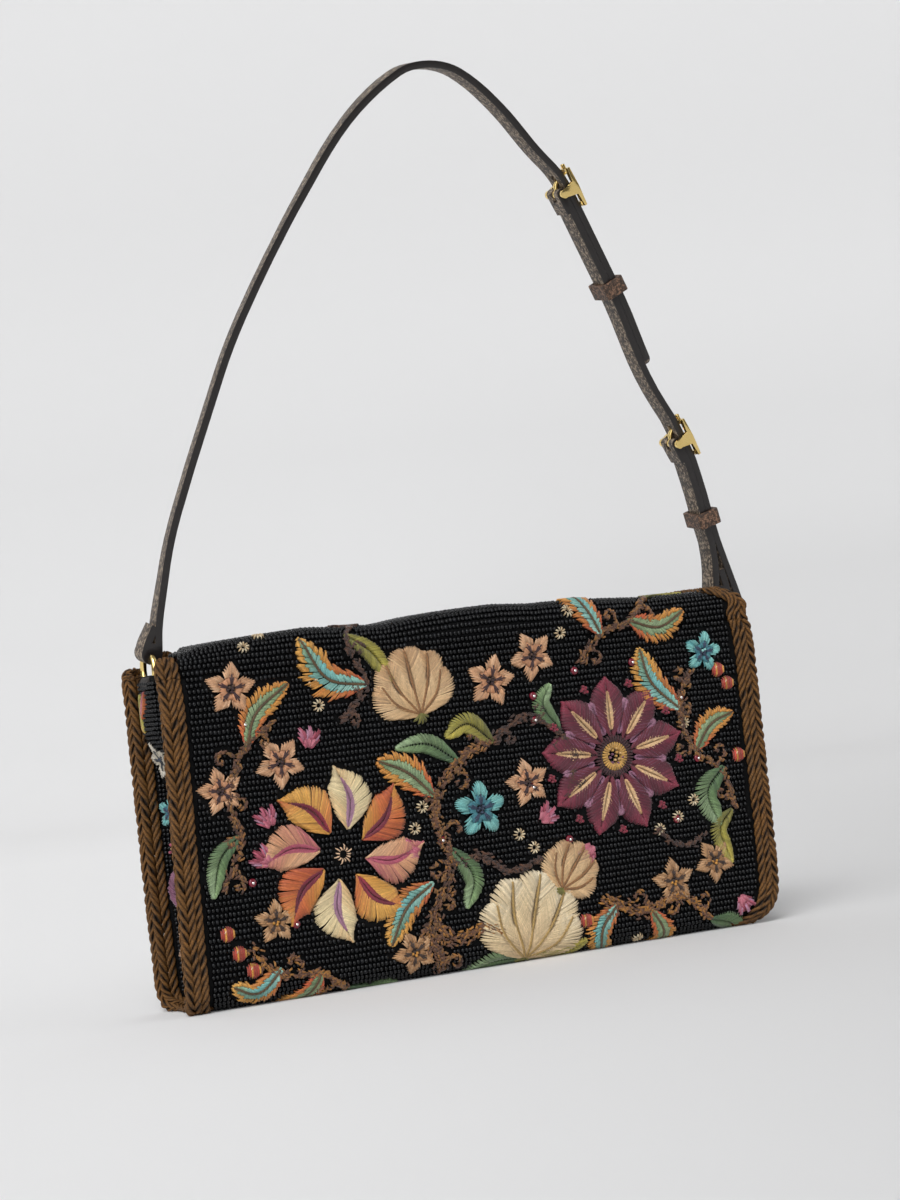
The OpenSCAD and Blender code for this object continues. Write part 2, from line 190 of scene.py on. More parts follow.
# Over the bag from the middle of the base, up the back panel, over both folds, down the flap
OVER = Section(
    [(0, 0, 270)] + arc_points(NEAR_BASE, BASE_R, 270, PANEL_ANGLE)
    + arc_points(NEAR_FOLD, FOLD_R, PANEL_ANGLE, 90) + arc_points(FAR_FOLD, FOLD_R, 90, 0)
    + [(FLAP_Y, FLAP_LOW, 0)])
# From the middle of the base up the front panel, which the flap covers
FRONT = [(0, 0, 270)] + arc_points(FAR_BASE, BASE_R, 270, 360) + [(16.9, 127.0, 360)]
UNDER = Section(FRONT)
# The far trims' line, which curls over at its top
CURLED = Section(FRONT + arc_points(np.array([12.6, 128.0]), 4.3, 361, 445))
NEAR_SPLIT = 141.3   # lengths along OVER at which one body ends and the next begins
FAR_SPLIT = 180.2
LEFT_END = 154.5     # where the left near trim ends

FLAP_EDGE_Y = [-24, -22, -20.6, -19.2, -17.4, -15.2, -12.5, 40]
FLAP_EDGE_X = [131.2, 129.4, 128.2, 125.2, 121.2, 118.8, 118, 118]


def half_width(z, side):
    """Half the body's width over its trims at height z, on the right (1) or the left (-1)."""
    z, side = np.asarray(z, float), np.asarray(side, float)
    r = np.where(side < 0, LEFT_CORNER, RIGHT_CORNER)
    low = np.clip(r - z, 0, r)
    full = np.where(side > 0, np.interp(z, (0, 30, 110, 140), (0, 0.9, 1.2, 0)), 0)
    return 131 - z * 2 / 140 + full - (r - np.sqrt(r * r - low * low))


def outer_edge(s, side):
    """Half the width over the trims at a length along OVER."""
    s = np.asarray(s, float)
    y, z, _, _ = OVER.at(s)
    flap = np.interp(y, FLAP_EDGE_Y, FLAP_EDGE_X) + 1.8 * on_top(s, 12)
    share = np.clip((s - NEAR_SPLIT + 5) / 6, 0, 1)
    return np.where(s < NEAR_SPLIT + 1, (1 - share) * half_width(z, side) + share * flap, flap)


def on_top(s, run):
    """1 on the bag's top and 0 on its panels, changing over the length run at both folds."""
    s = np.asarray(s, float)
    t = np.clip((s - NEAR_SPLIT) / run, 0, 1) * np.clip((FAR_SPLIT - s) / run, 0, 1)
    return t * t * (3 - 2 * t)


CROWN_X = (-135, -122, -115, -109, -100, -85, -66, -50, -34, -18, -2, 15, 31, 49, 66, 84, 120)
CROWN_OUT = (-4.6, -4.2, -3.0, -1.2, -0.3, 0.6, 1.5, 0.4, 0, 2.0, 2.9, 3.3, 2.1, 2.1, 1.2, 0, 0)


def swell(x, s):
    """How far the cloth swells or sinks: a little on the panels, more along the top."""
    x, s = np.asarray(x, float), np.asarray(s, float)
    panel = np.clip((s - 14) / 20, 0, 1) * np.clip((150 - s) / 20, 0, 1)
    top = np.clip((s - 126) / 22, 0, 1) * np.clip((198 - s) / 22, 0, 1)
    return (panel * (0.45 * np.cos(x / 34 + 0.6) * np.cos((s - 80) / 46) - 0.25)
            + top * top * (3 - 2 * top) * np.interp(x, CROWN_X, CROWN_OUT))


# Building meshes


def put(name, mesh, body, material=None, replaces=()):
    """Makes a mesh a piece that rides on a body."""
    obj = bpy.data.objects.new(name, mesh)
    bpy.context.scene.collection.objects.link(obj)
    if material:
        obj.data.materials.clear()
        obj.data.materials.append(material)
    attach(obj, body)
    if replaces:
        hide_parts(*replaces)
    return obj


def taken(bm):
    """The vertices and faces of a bmesh as arrays, and the bmesh freed."""
    bm.verts.ensure_lookup_table()
    co = np.array([v.co for v in bm.verts])
    faces = [[v.index for v in f.verts] for f in bm.faces]
    bm.free()
    return co, faces


RODS = {}


def rod(rings, sides):
    """A closed unit rod: each vertex's ring, cosine and sine, and the faces."""
    if (rings, sides) not in RODS:
        bm = bmesh.new()
        bmesh.ops.create_cone(bm, cap_ends=True, segments=sides, radius1=1, radius2=1, depth=1)
        long_edges = [e for e in bm.edges if abs(e.verts[0].co.z - e.verts[1].co.z) > 0.5]
        if rings > 2:
            bmesh.ops.subdivide_edges(bm, edges=long_edges, cuts=rings - 2)
        bm.verts.index_update()
        co, faces = taken(bm)
        RODS[rings, sides] = (np.rint((co[:, 2] + 0.5) * (rings - 1)).astype(int),
                              co[:, 0], co[:, 1], faces)
    return RODS[rings, sides]


def mesh_of_copies(name, places, faces, attributes=()):
    """One smooth mesh of n copies of a shape: places is n x vertices x 3, in millimetres."""
    n, count, _ = places.shape
    sizes = np.array([len(f) for f in faces])
    corners = np.concatenate([np.array(f) for f in faces])
    mesh = bpy.data.meshes.new(name)
    mesh.vertices.add(n * count)
    mesh.loops.add(n * len(corners))
    mesh.polygons.add(n * len(faces))
    mesh.vertices.foreach_set("co", (places * MM).astype(np.float32).ravel())
    mesh.loops.foreach_set(
        "vertex_index", (corners[None] + count * np.arange(n)[:, None]).astype(np.int32).ravel())
    mesh.polygons.foreach_set(
        "loop_start",
        (np.concatenate([[0], np.cumsum(sizes)[:-1]])[None]
         + len(corners) * np.arange(n)[:, None]).astype(np.int32).ravel())
    mesh.polygons.foreach_set("use_smooth", np.ones(n * len(faces), bool))
    mesh.update(calc_edges=True)
    for label, kind, values in attributes:
        layer = mesh.attributes.new(label, kind, "POINT")
        field = {"FLOAT": "value", "FLOAT_VECTOR": "vector", "FLOAT_COLOR": "color"}[kind]
        layer.data.foreach_set(field, np.asarray(values, np.float32).ravel())
    return mesh


def strands(name, centre, side, up, wide, high, colour=None, sides=6, twist=0.0):
    """Threads along centre lines: arrays n x rings x 3 for places, n x rings for half sizes."""
    n, rings, _ = centre.shape
    ring, c, s, faces = rod(rings, sides)
    places = (centre[:, ring] + (wide[:, ring] * c)[..., None] * side[:, ring]
              + (high[:, ring] * s)[..., None] * up[:, ring])
    steps = np.linalg.norm(np.diff(centre, axis=1), axis=2)
    along = np.concatenate([np.zeros((n, 1)), np.cumsum(steps, axis=1)], axis=1)
    turn = np.arctan2(s, c)[None] + twist * along[:, ring]
    thread = np.stack([along[:, ring], np.cos(turn), np.sin(turn)], axis=2)
    thread[..., 0] += 7.3 * np.arange(n)[:, None]
    extra = [("thread", "FLOAT_VECTOR", thread)]
    if colour is not None:
        rgba = np.ones((n, len(ring), 4))
        rgba[..., :3] = colour[:, None, :]
        extra.append(("dye", "FLOAT_COLOR", rgba))
    return mesh_of_copies(name, places, faces, extra)


# Materials


def new_material(name):
    """An empty node material and its tree."""
    material = bpy.data.materials.new(name)
    material.use_nodes = True
    material.node_tree.nodes.clear()
    return material, material.node_tree


def add(tree, kind, settings=None, inputs=None):
    """Adds a node with its settings, and its inputs' values or links."""
    node = tree.nodes.new(kind)
    for key, value in (settings or {}).items():
        setattr(node, key, value)
    for key, value in (inputs or {}).items():
        if isinstance(value, bpy.types.NodeSocket):
            tree.links.new(value, node.inputs[key])
        else:
            node.inputs[key].default_value = value
    return node


def ramp(tree, factor, stops):
    """A colour that changes with factor through stops, each a place and its colour."""
    node = add(tree, "ShaderNodeValToRGB", None, {"Fac": factor})
    line = node.color_ramp
    while len(line.elements) < len(stops):
        line.elements.new(0.5)
    for element, (place, colour) in zip(line.elements, stops):
        element.position = place
        element.color = (*(linear(colour) if isinstance(colour, str) else colour), 1)
    return node.outputs["Color"]


def close(tree, inputs, bump=None, strength=0.5, distance=0.2):
    """Ends a material in its surface shader. Bump distances are in millimetres."""
    if bump is not None:
        inputs = dict(inputs)
        inputs["Normal"] = add(tree, "ShaderNodeBump", None, {
            "Strength": strength, "Distance": distance * MM, "Height": bump}).outputs["Normal"]
    shader = add(tree, "ShaderNodeBsdfPrincipled", None, inputs)
    add(tree, "ShaderNodeOutputMaterial", None, {"Surface": shader.outputs["BSDF"]})


def per_mm(tree, scale=1.0, stretch=(1, 1, 1)):
    """Object coordinates in units of scale millimetres."""
    place = add(tree, "ShaderNodeTexCoord").outputs["Object"]
    factor = 1 / (MM * scale)
    return add(tree, "ShaderNodeMapping", None, {
        "Vector": place, "Scale": [factor * v for v in stretch]}).outputs["Vector"]


def bead_glass():
    """Glass seed beads, pressed and fire-polished: near black, with sharp grey-blue highlights."""
    material, tree = new_material("Black glass seed beads")
    beads = bpy.context.scene.bag_beads
    shade = add(tree, "ShaderNodeAttribute", {"attribute_name": "shade"}).outputs["Fac"]
    colour = ramp(tree, shade, [(0.0, [0.5 * v for v in beads.glass]), (0.6, beads.glass),
                                (1.0, beads.pale_glass)])
    rough = add(tree, "ShaderNodeMapRange", None, {
        "Value": shade, "To Min": 0.14, "To Max": 0.3}).outputs["Result"]
    close(tree, {"Base Color": colour, "Roughness": rough, "IOR": 1.52,
                 "Specular IOR Level": 0.26})
    return material


def backing_cloth():
    """Black cotton backing cloth, plain woven: matt, with a fine thread grid."""
    material, tree = new_material("Black cotton backing cloth")
    place = per_mm(tree, 0.5)
    wave = add(tree, "ShaderNodeTexWave", {"bands_direction": "X"}, {"Vector": place, "Scale": 0.31})
    cross = add(tree, "ShaderNodeTexWave", {"bands_direction": "Z"}, {"Vector": place, "Scale": 0.31})
    weave = add(tree, "ShaderNodeMath", {"operation": "MULTIPLY"}, {
        0: wave.outputs["Fac"], 1: cross.outputs["Fac"]}).outputs[0]
    backing = bpy.context.scene.bag_cloth.backing
    colour = ramp(tree, weave, [(0.0, [0.25 * v for v in backing]), (1.0, backing)])
    close(tree, {"Base Color": colour, "Roughness": 0.85, "Specular IOR Level": 0.2}, weave, 0.4, 0.1)
    return material


def embroidery_thread():
    """Stranded cotton and wool embroidery thread: soft sheen along each stitch, fine fibres."""
    material, tree = new_material("Dyed embroidery thread")
    dye = add(tree, "ShaderNodeAttribute", {"attribute_name": "dye"}).outputs["Color"]
    place = add(tree, "ShaderNodeAttribute", {"attribute_name": "thread"}).outputs["Vector"]
    fibre_place = add(tree, "ShaderNodeMapping", None, {"Vector": place, "Scale": (0.35, 2.2, 2.2)})
    fibre = add(tree, "ShaderNodeTexNoise", None, {
        "Vector": fibre_place.outputs["Vector"], "Scale": 2.0, "Detail": 2.0}).outputs["Fac"]
    shade = ramp(tree, fibre, [(0.3, (0.55, 0.55, 0.55)), (0.7, (1.1, 1.1, 1.1))])
    colour = add(tree, "ShaderNodeMix", {"data_type": "RGBA", "blend_type": "MULTIPLY"}, {
        0: 1.0, 6: dye, 7: shade}).outputs[2]
    close(tree, {"Base Color": colour, "Roughness": 0.55, "Sheen Weight": 0.25,
                 "Sheen Roughness": 0.4}, fibre, 0.5, 0.25)
    return material


def sequin():
    """Wine plastic sequins, shiny, held by clear silvered glass beads."""
    material, tree = new_material("Wine sequins and silvered beads")
    glint = add(tree, "ShaderNodeAttribute", {"attribute_name": "glint"}).outputs["Fac"]
    cloud = add(tree, "ShaderNodeTexNoise", None, {
        "Vector": per_mm(tree, 1.0), "Scale": 1.5, "Detail": 1.0}).outputs["Fac"]
    wine = ramp(tree, cloud, [(0.3, "#5A0F1E"), (0.7, "#7C1A2C")])
    colour = add(tree, "ShaderNodeMix", {"data_type": "RGBA"}, {
        0: glint, 6: wine, 7: (*linear("#F2ECE8"), 1)}).outputs[2]
    close(tree, {"Base Color": colour, "Roughness": 0.18, "Metallic": glint})
    return material


def braid_cord():
    """Rayon and wool twisted cord: bronze brown with fibres along the plies; painted shade darkens it
    between the plies and a painted highlight lightens their crests.
    """
    material, tree = new_material("Bronze twisted cord")
    place = add(tree, "ShaderNodeAttribute", {"attribute_name": "thread"}).outputs["Vector"]
    fibre_place = add(tree, "ShaderNodeMapping", None, {"Vector": place, "Scale": (0.3, 2.6, 2.6)})
    fibre = add(tree, "ShaderNodeTexNoise", None, {
        "Vector": fibre_place.outputs["Vector"], "Scale": 1.8, "Detail": 3.0}).outputs["Fac"]
    patch = add(tree, "ShaderNodeTexNoise", None, {
        "Vector": per_mm(tree, 14), "Scale": 1.0, "Detail": 1.0}).outputs["Fac"]
    braid = bpy.context.scene.bag_braid
    warm, cool = (ramp(tree, fibre, [(0.32, [0.27 * v for v in dyed]), (0.5, dyed),
                                     (0.68, [2.2 * v for v in dyed])])
                  for dyed in (braid.warm, braid.cool))
    mixed_up = add(tree, "ShaderNodeMix", {"data_type": "RGBA"}, {
        0: patch, 6: warm, 7: cool}).outputs[2]
    # Painted shade and highlight: the distance from the cord's axis makes the grooves between plies
    # near black and the crests lighter than the dye.
    painted_ply_shade = add(tree, "ShaderNodeAttribute", {"attribute_name": "painted_ply_shade"}).outputs["Fac"]
    depth = ramp(tree, painted_ply_shade, [(0.5, (0.05, 0.045, 0.04)), (0.7, (0.42, 0.4, 0.38)),
                               (0.88, (0.8, 0.77, 0.73)), (1.0, (1.15, 1.11, 1.06))])
    colour = add(tree, "ShaderNodeMix", {"data_type": "RGBA", "blend_type": "MULTIPLY"}, {
        0: 1.0, 6: mixed_up, 7: depth}).outputs[2]
    close(tree, {"Base Color": colour, "Roughness": 0.62, "Specular IOR Level": 0.3}, fibre, 0.6, 0.3)
    return material


def leather(name, dark, mid, light, edged=True):
    """Embossed calf leather, flecked where the grain is rubbed, with dark smooth painted edges."""
    material, tree = new_material(name)
    place = per_mm(tree, 1.0)
    cells = add(tree, "ShaderNodeTexVoronoi", {"feature": "DISTANCE_TO_EDGE"}, {
        "Vector": place, "Scale": 1.15}).outputs["Distance"]
    grain = ramp(tree, cells, [(0.0, (0, 0, 0)), (0.22, (1, 1, 1))])
    fleck = add(tree, "ShaderNodeTexNoise", None, {
        "Vector": place, "Scale": 0.75, "Detail": 2.0, "Roughness": 0.7}).outputs["Fac"]
    faded = ramp(tree, fleck, [(0.42, dark), (0.52, mid), (0.62, light)])
    across = add(tree, "ShaderNodeVectorMath", {"operation": "DOT_PRODUCT"}, {
        0: place, 1: (0, math.cos(LEAN), math.sin(LEAN))}).outputs["Value"]
    middle = add(tree, "ShaderNodeMath", {"operation": "SUBTRACT"}, {
        0: across, 1: RING_Z * math.sin(LEAN)}).outputs[0]
    off = add(tree, "ShaderNodeMath", {"operation": "ABSOLUTE"}, {0: middle}).outputs[0]
    rim = add(tree, "ShaderNodeMapRange", None, {
        "Value": off, "From Min": 4.3, "From Max": 4.5,
        "To Max": 1.0 if edged else 0.0}).outputs["Result"]
    colour = add(tree, "ShaderNodeMix", {"data_type": "RGBA"}, {
        0: rim, 6: faded, 7: (*bpy.context.scene.bag_leather.edge, 1)}).outputs[2]
    rough = add(tree, "ShaderNodeMapRange", None, {
        "Value": rim, "To Min": 0.55, "To Max": 0.3}).outputs["Result"]
    smooth = add(tree, "ShaderNodeMath", {"operation": "SUBTRACT", "use_clamp": True}, {
        0: grain, 1: rim}).outputs[0]
    close(tree, {"Base Color": colour, "Roughness": rough, "IOR": 1.5}, smooth, 0.35, 0.12)
    return material


def gold_plate():
    """Polished brass with pale gold plate: bright, with faint rubbing marks."""
    material, tree = new_material("Polished gold plate")
    marks = add(tree, "ShaderNodeTexNoise", None, {
        "Vector": per_mm(tree, 1.0, (1, 1, 5)), "Scale": 0.9, "Detail": 4.0}).outputs["Fac"]
    rough = add(tree, "ShaderNodeMapRange", None, {
        "Value": marks, "To Min": 0.06, "To Max": 0.16}).outputs["Result"]
    plate = bpy.context.scene.bag_metal
    colour = ramp(tree, marks, [(0.2, plate.gold_deep), (0.8, plate.gold)])
    close(tree, {"Base Color": colour, "Metallic": 1.0, "Roughness": rough}, marks, 0.08, 0.05)
    return material


def satin():
    """Wine satin lining: woven with long floats, smooth and soft-shining across its folds."""
    material, tree = new_material("Wine satin")
    floats = add(tree, "ShaderNodeTexNoise", None, {
        "Vector": per_mm(tree, 1.0, (0.5, 3, 3)), "Scale": 1.2, "Detail": 3.0}).outputs["Fac"]
    dyed = bpy.context.scene.bag_cloth
    colour = ramp(tree, floats, [(0.3, dyed.lining_deep), (0.7, dyed.lining)])
    close(tree, {"Base Color": colour, "Roughness": 0.36, "Sheen Weight": 0.2,
                 "Anisotropic": 0.5}, floats, 0.2, 0.08)
    return material


def grey_board():
    """Pressed grey board that stiffens the base: dull, with flecks of pulp."""
    material, tree = new_material("Pressed grey board")
    fleck = add(tree, "ShaderNodeTexNoise", None, {
        "Vector": per_mm(tree, 1.0), "Scale": 1.6, "Detail": 6.0}).outputs["Fac"]
    colour = ramp(tree, fleck, [(0.3, "#6E685E"), (0.7, "#989083")])
    close(tree, {"Base Color": colour, "Roughness": 0.9}, fleck, 0.3, 0.1)
    return material


MADE = {}


def stuff(make, *words):
    """A material, made once."""
    key = (make.__name__, *words)
    if key not in MADE:
        MADE[key] = make(*words)
    return MADE[key]


def strap_leather():
    """The strap's leather in the settings' colours."""
    calf = bpy.context.scene.bag_leather
    return stuff(leather, "Taupe grained calf", tuple(calf.strap_dark), tuple(calf.strap),
                 tuple(calf.strap_light))


def keeper_leather():
    """The keepers' and the binding's leather, without painted edges."""
    mid = tuple(bpy.context.scene.bag_leather.keeper)
    return stuff(leather, "Brown grained calf", tuple(0.38 * v for v in mid), mid,
                 tuple(2.9 * v for v in mid), False)


# Cloth


def grid_over(name, nx, ns, place):
    """A sheet of nx x ns squares whose corners are at place(u, v), with u and v from 0 to 1."""
    bm = bmesh.new()
    bmesh.ops.create_grid(bm, x_segments=nx, y_segments=ns, size=0.5)
    for v in bm.verts:
        v.co = Vector(place(v.co.x + 0.5, v.co.y + 0.5)) * MM
    mesh = bpy.data.meshes.new(name)
    bm.to_mesh(mesh)
    bm.free()
    for p in mesh.polygons:
        p.use_smooth = True
    return mesh


def cloth(name, section, s0, s1, edge, depth, body, material, thick, replaces=(),
          out=lambda x, s: 0.0):
    """A sheet that follows a section between two lengths, edge(s, side) wide each way."""
    def place(u, v):
        s = s0 + v * (s1 - s0)
        x = (2 * u - 1) * float(edge(s, 1 if u > 0.5 else -1))
        y, z, _, _ = section.at(s, -depth + out(x, s))
        return x, float(y), float(z)
    mesh = grid_over(name, 96, max(4, int((s1 - s0) / 2.5)), place)
    obj = put(name, mesh, body, material, replaces)
    wall = obj.modifiers.new("Wall", "SOLIDIFY")
    wall.thickness = thick * MM
    wall.offset = -1 if section is OVER else 1
    return obj


# Beads


def bead_spacing():
    """From row to row and from bead to bead, in millimetres."""
    beads = bpy.context.scene.bag_beads
    return mm(beads.row), mm(beads.step)


def bead_shape(hidden):
    """One seed bead, its hole along X, plainer where the flap hides it."""
    bm = bmesh.new()
    bmesh.ops.create_uvsphere(bm, u_segments=6 if hidden else 8, v_segments=3 if hidden else 4,
                              radius=1, matrix=Matrix.Rotation(math.pi / 2, 4, "Y"))
    return taken(bm)


def beads_at(name, centre, along, across, normal, rng, body, hidden=False):
    """A piece of beads: arrays of centres and of the three directions, in millimetres."""
    shape, faces = bead_shape(hidden)
    n = len(centre)
    # Half sizes: along the hole, across it and up
    size = np.stack([rng.normal(middle, spread, n) for middle, spread in
                     ((0.84, 0.035), (1.12, 0.04), (1.04, 0.03))], axis=1)
    tip = rng.normal(0, 0.09, n)[:, None]
    turned = along * np.cos(tip) + across * np.sin(tip)
    crossed = across * np.cos(tip) - along * np.sin(tip)
    places = (centre[:, None]
              + (size[:, None, 0] * shape[None, :, 0])[..., None] * turned[:, None]
              + (size[:, None, 1] * shape[None, :, 1])[..., None] * crossed[:, None]
              + (size[:, None, 2] * shape[None, :, 2])[..., None] * normal[:, None])
    shade = np.repeat(np.clip(rng.normal(0.45, 0.2, n), 0, 1), len(shape))
    mesh = mesh_of_copies(name, places, faces, [("shade", "FLOAT", shade)])
    return put(name, mesh, body, stuff(bead_glass))


def bead_rows(s0, s1, inner, rng, keep=None, left_gap=0.0):
    """Rows of beads along X on a section, as arrays x and s."""
    row, step = bead_spacing()
    xs, ss = [], []
    for k in range(int(s0 / row), int(s1 / row) + 1):
        s = row * (k + 0.5)
        if not s0 <= s < s1:
            continue
        left, right = float(inner(s, -1)) - left_gap, float(inner(s, 1))
        x = -left + step * (0.5 + np.arange(int((left + right) / step)))
        x = x + rng.normal(0, 0.07, len(x)) + 0.35 * math.sin(k * 2.1)
        drift = 0.18 * np.sin(x / 17 + k * 0.21) + rng.normal(0, 0.06, len(x))
        xs.append(x)
        ss.append(s + drift)
    x, s = np.concatenate(xs), np.concatenate(ss)
    if keep is not None:
        ok = keep(x, s)
        x, s = x[ok], s[ok]
    return x, s


def beads_on(name, section, x, s, rng, body, out=swell, hidden=False):
    """Beads at x and s on a section, bedded in its surface."""
    y, z, ny, nz = section.at(s, -1.05 + rng.normal(0, 0.05, len(s)) + out(x, s))
    zero = np.zeros_like(y)
    normal = np.stack([zero, ny, nz], axis=1)
    across = np.stack([zero, nz, -ny], axis=1)
    along = np.tile([1.0, 0, 0], (len(x), 1))
    return beads_at(name, np.stack([x, y, z], axis=1), along, across, normal, rng, body,
                    hidden=hidden)


# Embroidery


class Hoop:
    """Stitches drawn on a flat plan of x and length, then laid on a section."""

    def __init__(self, seed):
        self.rows, self.rng = [], np.random.default_rng(seed)

    def stitch(self, a, b, colour, wide=0.9, lift=0.0):
        tone = 1 + self.rng.normal(0, 0.12)
        dye = [max(0.0, c * tone) for c in (linear(colour) if isinstance(colour, str) else colour)]
        self.rows.append((*a, *b, wide, lift, *dye))

    def array(self):
        return np.array(self.rows, float)


def polar(angle, length):
    """A plane vector of a length at an angle."""
    return np.array([math.cos(angle), math.sin(angle)]) * length


def mixed(colours, t):
    """A colour between those listed, at t from 0 to 1."""
    t = min(max(t, 0), 1) * (len(colours) - 1)
    i = min(int(t), len(colours) - 2) if len(colours) > 1 else 0
    a, b = linear(colours[i]), linear(colours[min(i + 1, len(colours) - 1)])
    return [x + (y - x) * (t - i) for x, y in zip(a, b)]


def smooth_path(points, n=40):
    """A smooth curve through points, evenly spaced."""
    p = np.array(points, float)
    if len(p) == 2:
        fine = np.linspace(p[0], p[1], n * 4)
    else:
        q = np.vstack([2 * p[0] - p[1], p, 2 * p[-1] - p[-2]])
        fine = []
        for i in range(1, len(q) - 2):
            t = np.linspace(0, 1, 20, endpoint=False)[:, None]
            fine.append(0.5 * (2 * q[i] + (q[i + 1] - q[i - 1]) * t
                               + (2 * q[i - 1] - 5 * q[i] + 4 * q[i + 1] - q[i + 2]) * t ** 2
                               + (3 * q[i] - q[i - 1] - 3 * q[i + 1] + q[i + 2]) * t ** 3))
        fine = np.vstack(fine + [p[-1:]])
    s = np.concatenate([[0], np.cumsum(np.linalg.norm(np.diff(fine, axis=0), axis=1))])
    even = np.linspace(0, s[-1], n)
    return np.stack([np.interp(even, s, fine[:, 0]), np.interp(even, s, fine[:, 1])], axis=1), s[-1]


def fishbone(hoop, points, width, left, right, vein=None, sharp=0.85, jag=0.2, slant=0.55,
             edge=None, teeth=0, pitch=0.74, round_off=0.75):
    """A leaf or petal filled from its middle line outwards; edge colours its toothed border."""
    path, length = smooth_path(points, 60)
    count = max(5, int(length / pitch))
    for i in range(count):
        t = (i + 0.3) / count
        at = path[min(int(t * 59), 59)]
        ahead = path[min(int(t * 59) + 1, 59)] - path[max(int(t * 59) - 1, 0)]
        ahead = ahead / (np.linalg.norm(ahead) + 1e-9)
        normal = np.array([-ahead[1], ahead[0]])
        swell = math.sin(math.pi * min(1, t ** sharp * 0.93 + 0.07)) ** round_off
        if teeth:
            swell *= 0.78 + 0.3 * ((t * teeth) % 1)
        for sign, colours in ((1, left), (-1, right)):
            reach = width / 2 * swell * (1 + jag * hoop.rng.uniform(-0.5, 0.5))
            tip = at + sign * normal * reach + ahead * (reach * slant + 0.8)
            foot = at - ahead * 0.6
            shade = t + hoop.rng.uniform(-0.1, 0.1)
            if edge:
                share = hoop.rng.uniform(0.48, 0.66)
                hoop.stitch(foot + (tip - foot) * (share - 0.12), tip, mixed(edge, shade), 0.85)
                hoop.stitch(foot, foot + (tip - foot) * share, mixed(colours, shade), 0.85, 0.1)
            else:
                hoop.stitch(foot, tip, mixed(colours, shade), 0.9)
    if vein:
        stem(hoop, points, [vein], 1, 0.35)


def stem(hoop, points, colours, rows=2, lift=0.1, step=1.5, long=4.0, spread=0.9):
    """A stem of slanting stitches that overlap along a path."""
    path, length = smooth_path(points, 80)
    count = max(2, int(length / step))
    for row in range(rows):
        shift = (row - (rows - 1) / 2) * spread
        for i in range(count):
            k = int((i + 0.4 * (row % 2)) / count * 79)
            j = min(79, k + max(1, int(long / length * 79)))
            a, b = path[k], path[j]
            ahead = (b - a) / (np.linalg.norm(b - a) + 1e-9)
            normal = np.array([-ahead[1], ahead[0]])
            hoop.stitch(a + normal * (shift - 0.3), b + normal * (shift + 0.3),
                        colours[(i + row) % len(colours)], 0.9, lift)


def moss(hoop, points, colours, width=3.0):
    """A woody vine of short stitches that lie all ways along a path."""
    path, length = smooth_path(points, 80)
    for _ in range(int(length * (width / 1.1))):
        k = hoop.rng.integers(1, 79)
        ahead = path[k + 1] - path[k - 1]
        ahead = ahead / (np.linalg.norm(ahead) + 1e-9)
        normal = np.array([-ahead[1], ahead[0]])
        spread = hoop.rng.normal(0, 0.3) * width * (1.1 - 0.6 * k / 79)
        turn = math.atan2(ahead[1], ahead[0]) + hoop.rng.uniform(-0.9, 0.9)
        at = path[k] + normal * spread
        half = polar(turn, hoop.rng.uniform(0.8, 1.5))
        hoop.stitch(at - half, at + half, colours[hoop.rng.integers(len(colours))],
                    hoop.rng.uniform(0.75, 1.0), 0.15)


def curl(hoop, start, angle, size, colours, way=1, width=1.8):
    """A curling tendril that winds in on itself."""
    points, at, a = [], np.array(start, float), angle
    for i in range(26):
        points.append(at.copy())
        at = at + polar(a, size * (0.115 - 0.0032 * i))
        a += way * (0.1 + 0.012 * i)
    moss(hoop, points[::2] + points[-1:], colours, width)


def tendril(hoop, points, colours, width=3.0, apart=13):
    """A vine with curling side shoots."""
    moss(hoop, points, colours, width)
    path, length = smooth_path(points, 80)
    shoots = max(1, int(length / apart))
    for i in range(shoots):
        k = min(77, int((i + 0.5) / shoots * 79))
        ahead = path[k + 2] - path[k]
        way = 1 if i % 2 else -1
        curl(hoop, path[k], math.atan2(ahead[1], ahead[0]) + way * 1.0, hoop.rng.uniform(5, 8.5),
             colours, way)


def petal(hoop, centre, angle, start, length, width, inner, outer, heart=None, point=0.8):
    """A petal of long stitches that fan from its foot, in two lengths."""
    c = np.array(centre, float)
    count = max(5, int(width / 0.68))
    ahead, side = polar(angle, 1), polar(angle + math.pi / 2, 1)
    for i in range(count):
        u = 2 * (i + 0.5) / count - 1
        crown = (1 - abs(u) ** (2.2 if point < 1 else 1.1)) ** min(point, 1)
        foot = c + ahead * start + side * u * width * 0.2
        tip = c + ahead * (start + (length - start) * (0.5 + 0.5 * crown)) + side * u * width / 2
        middle = foot + (tip - foot) * hoop.rng.uniform(0.42, 0.6)
        hoop.stitch(middle - (tip - foot) * 0.12, tip, mixed(outer, hoop.rng.uniform(0, 1)), 0.85)
        hoop.stitch(foot, middle, mixed(inner, hoop.rng.uniform(0, 1)), 0.85, 0.12)
    if heart:
        for u in (-0.35, 0.0, 0.35):
            hoop.stitch(c + ahead * start * 0.8,
                        c + ahead * (start + (length - start) * (0.55 - abs(u) * 0.4))
                        + side * u * width * 0.35, heart, 0.65, 0.35)


def knots(hoop, centre, radius, count, colours, wide=1.2):
    """French knots in a round patch, each two short crossed stitches."""
    for i in range(count):
        r = radius * math.sqrt((i + 0.5) / count)
        at = np.array(centre, float) + polar(i * 2.39996, r)
        for turn in (0.4, 1.9):
            hoop.stitch(at - polar(turn, 0.5), at + polar(turn, 0.5), colours[i % len(colours)],
                        wide, 0.45)


def small_flower(hoop, centre, size, turn, outer, inner, heart, eye, petals=5, point=1.0):
    """A small flower of pointed petals, or of round ones where point is under 1."""
    for k in range(petals):
        petal(hoop, centre, turn + 2 * math.pi * k / petals, size * 0.07, size * 0.54,
              size * (1.75 / petals), inner, outer, heart, point)
    knots(hoop, centre, size * 0.08, 5, eye)


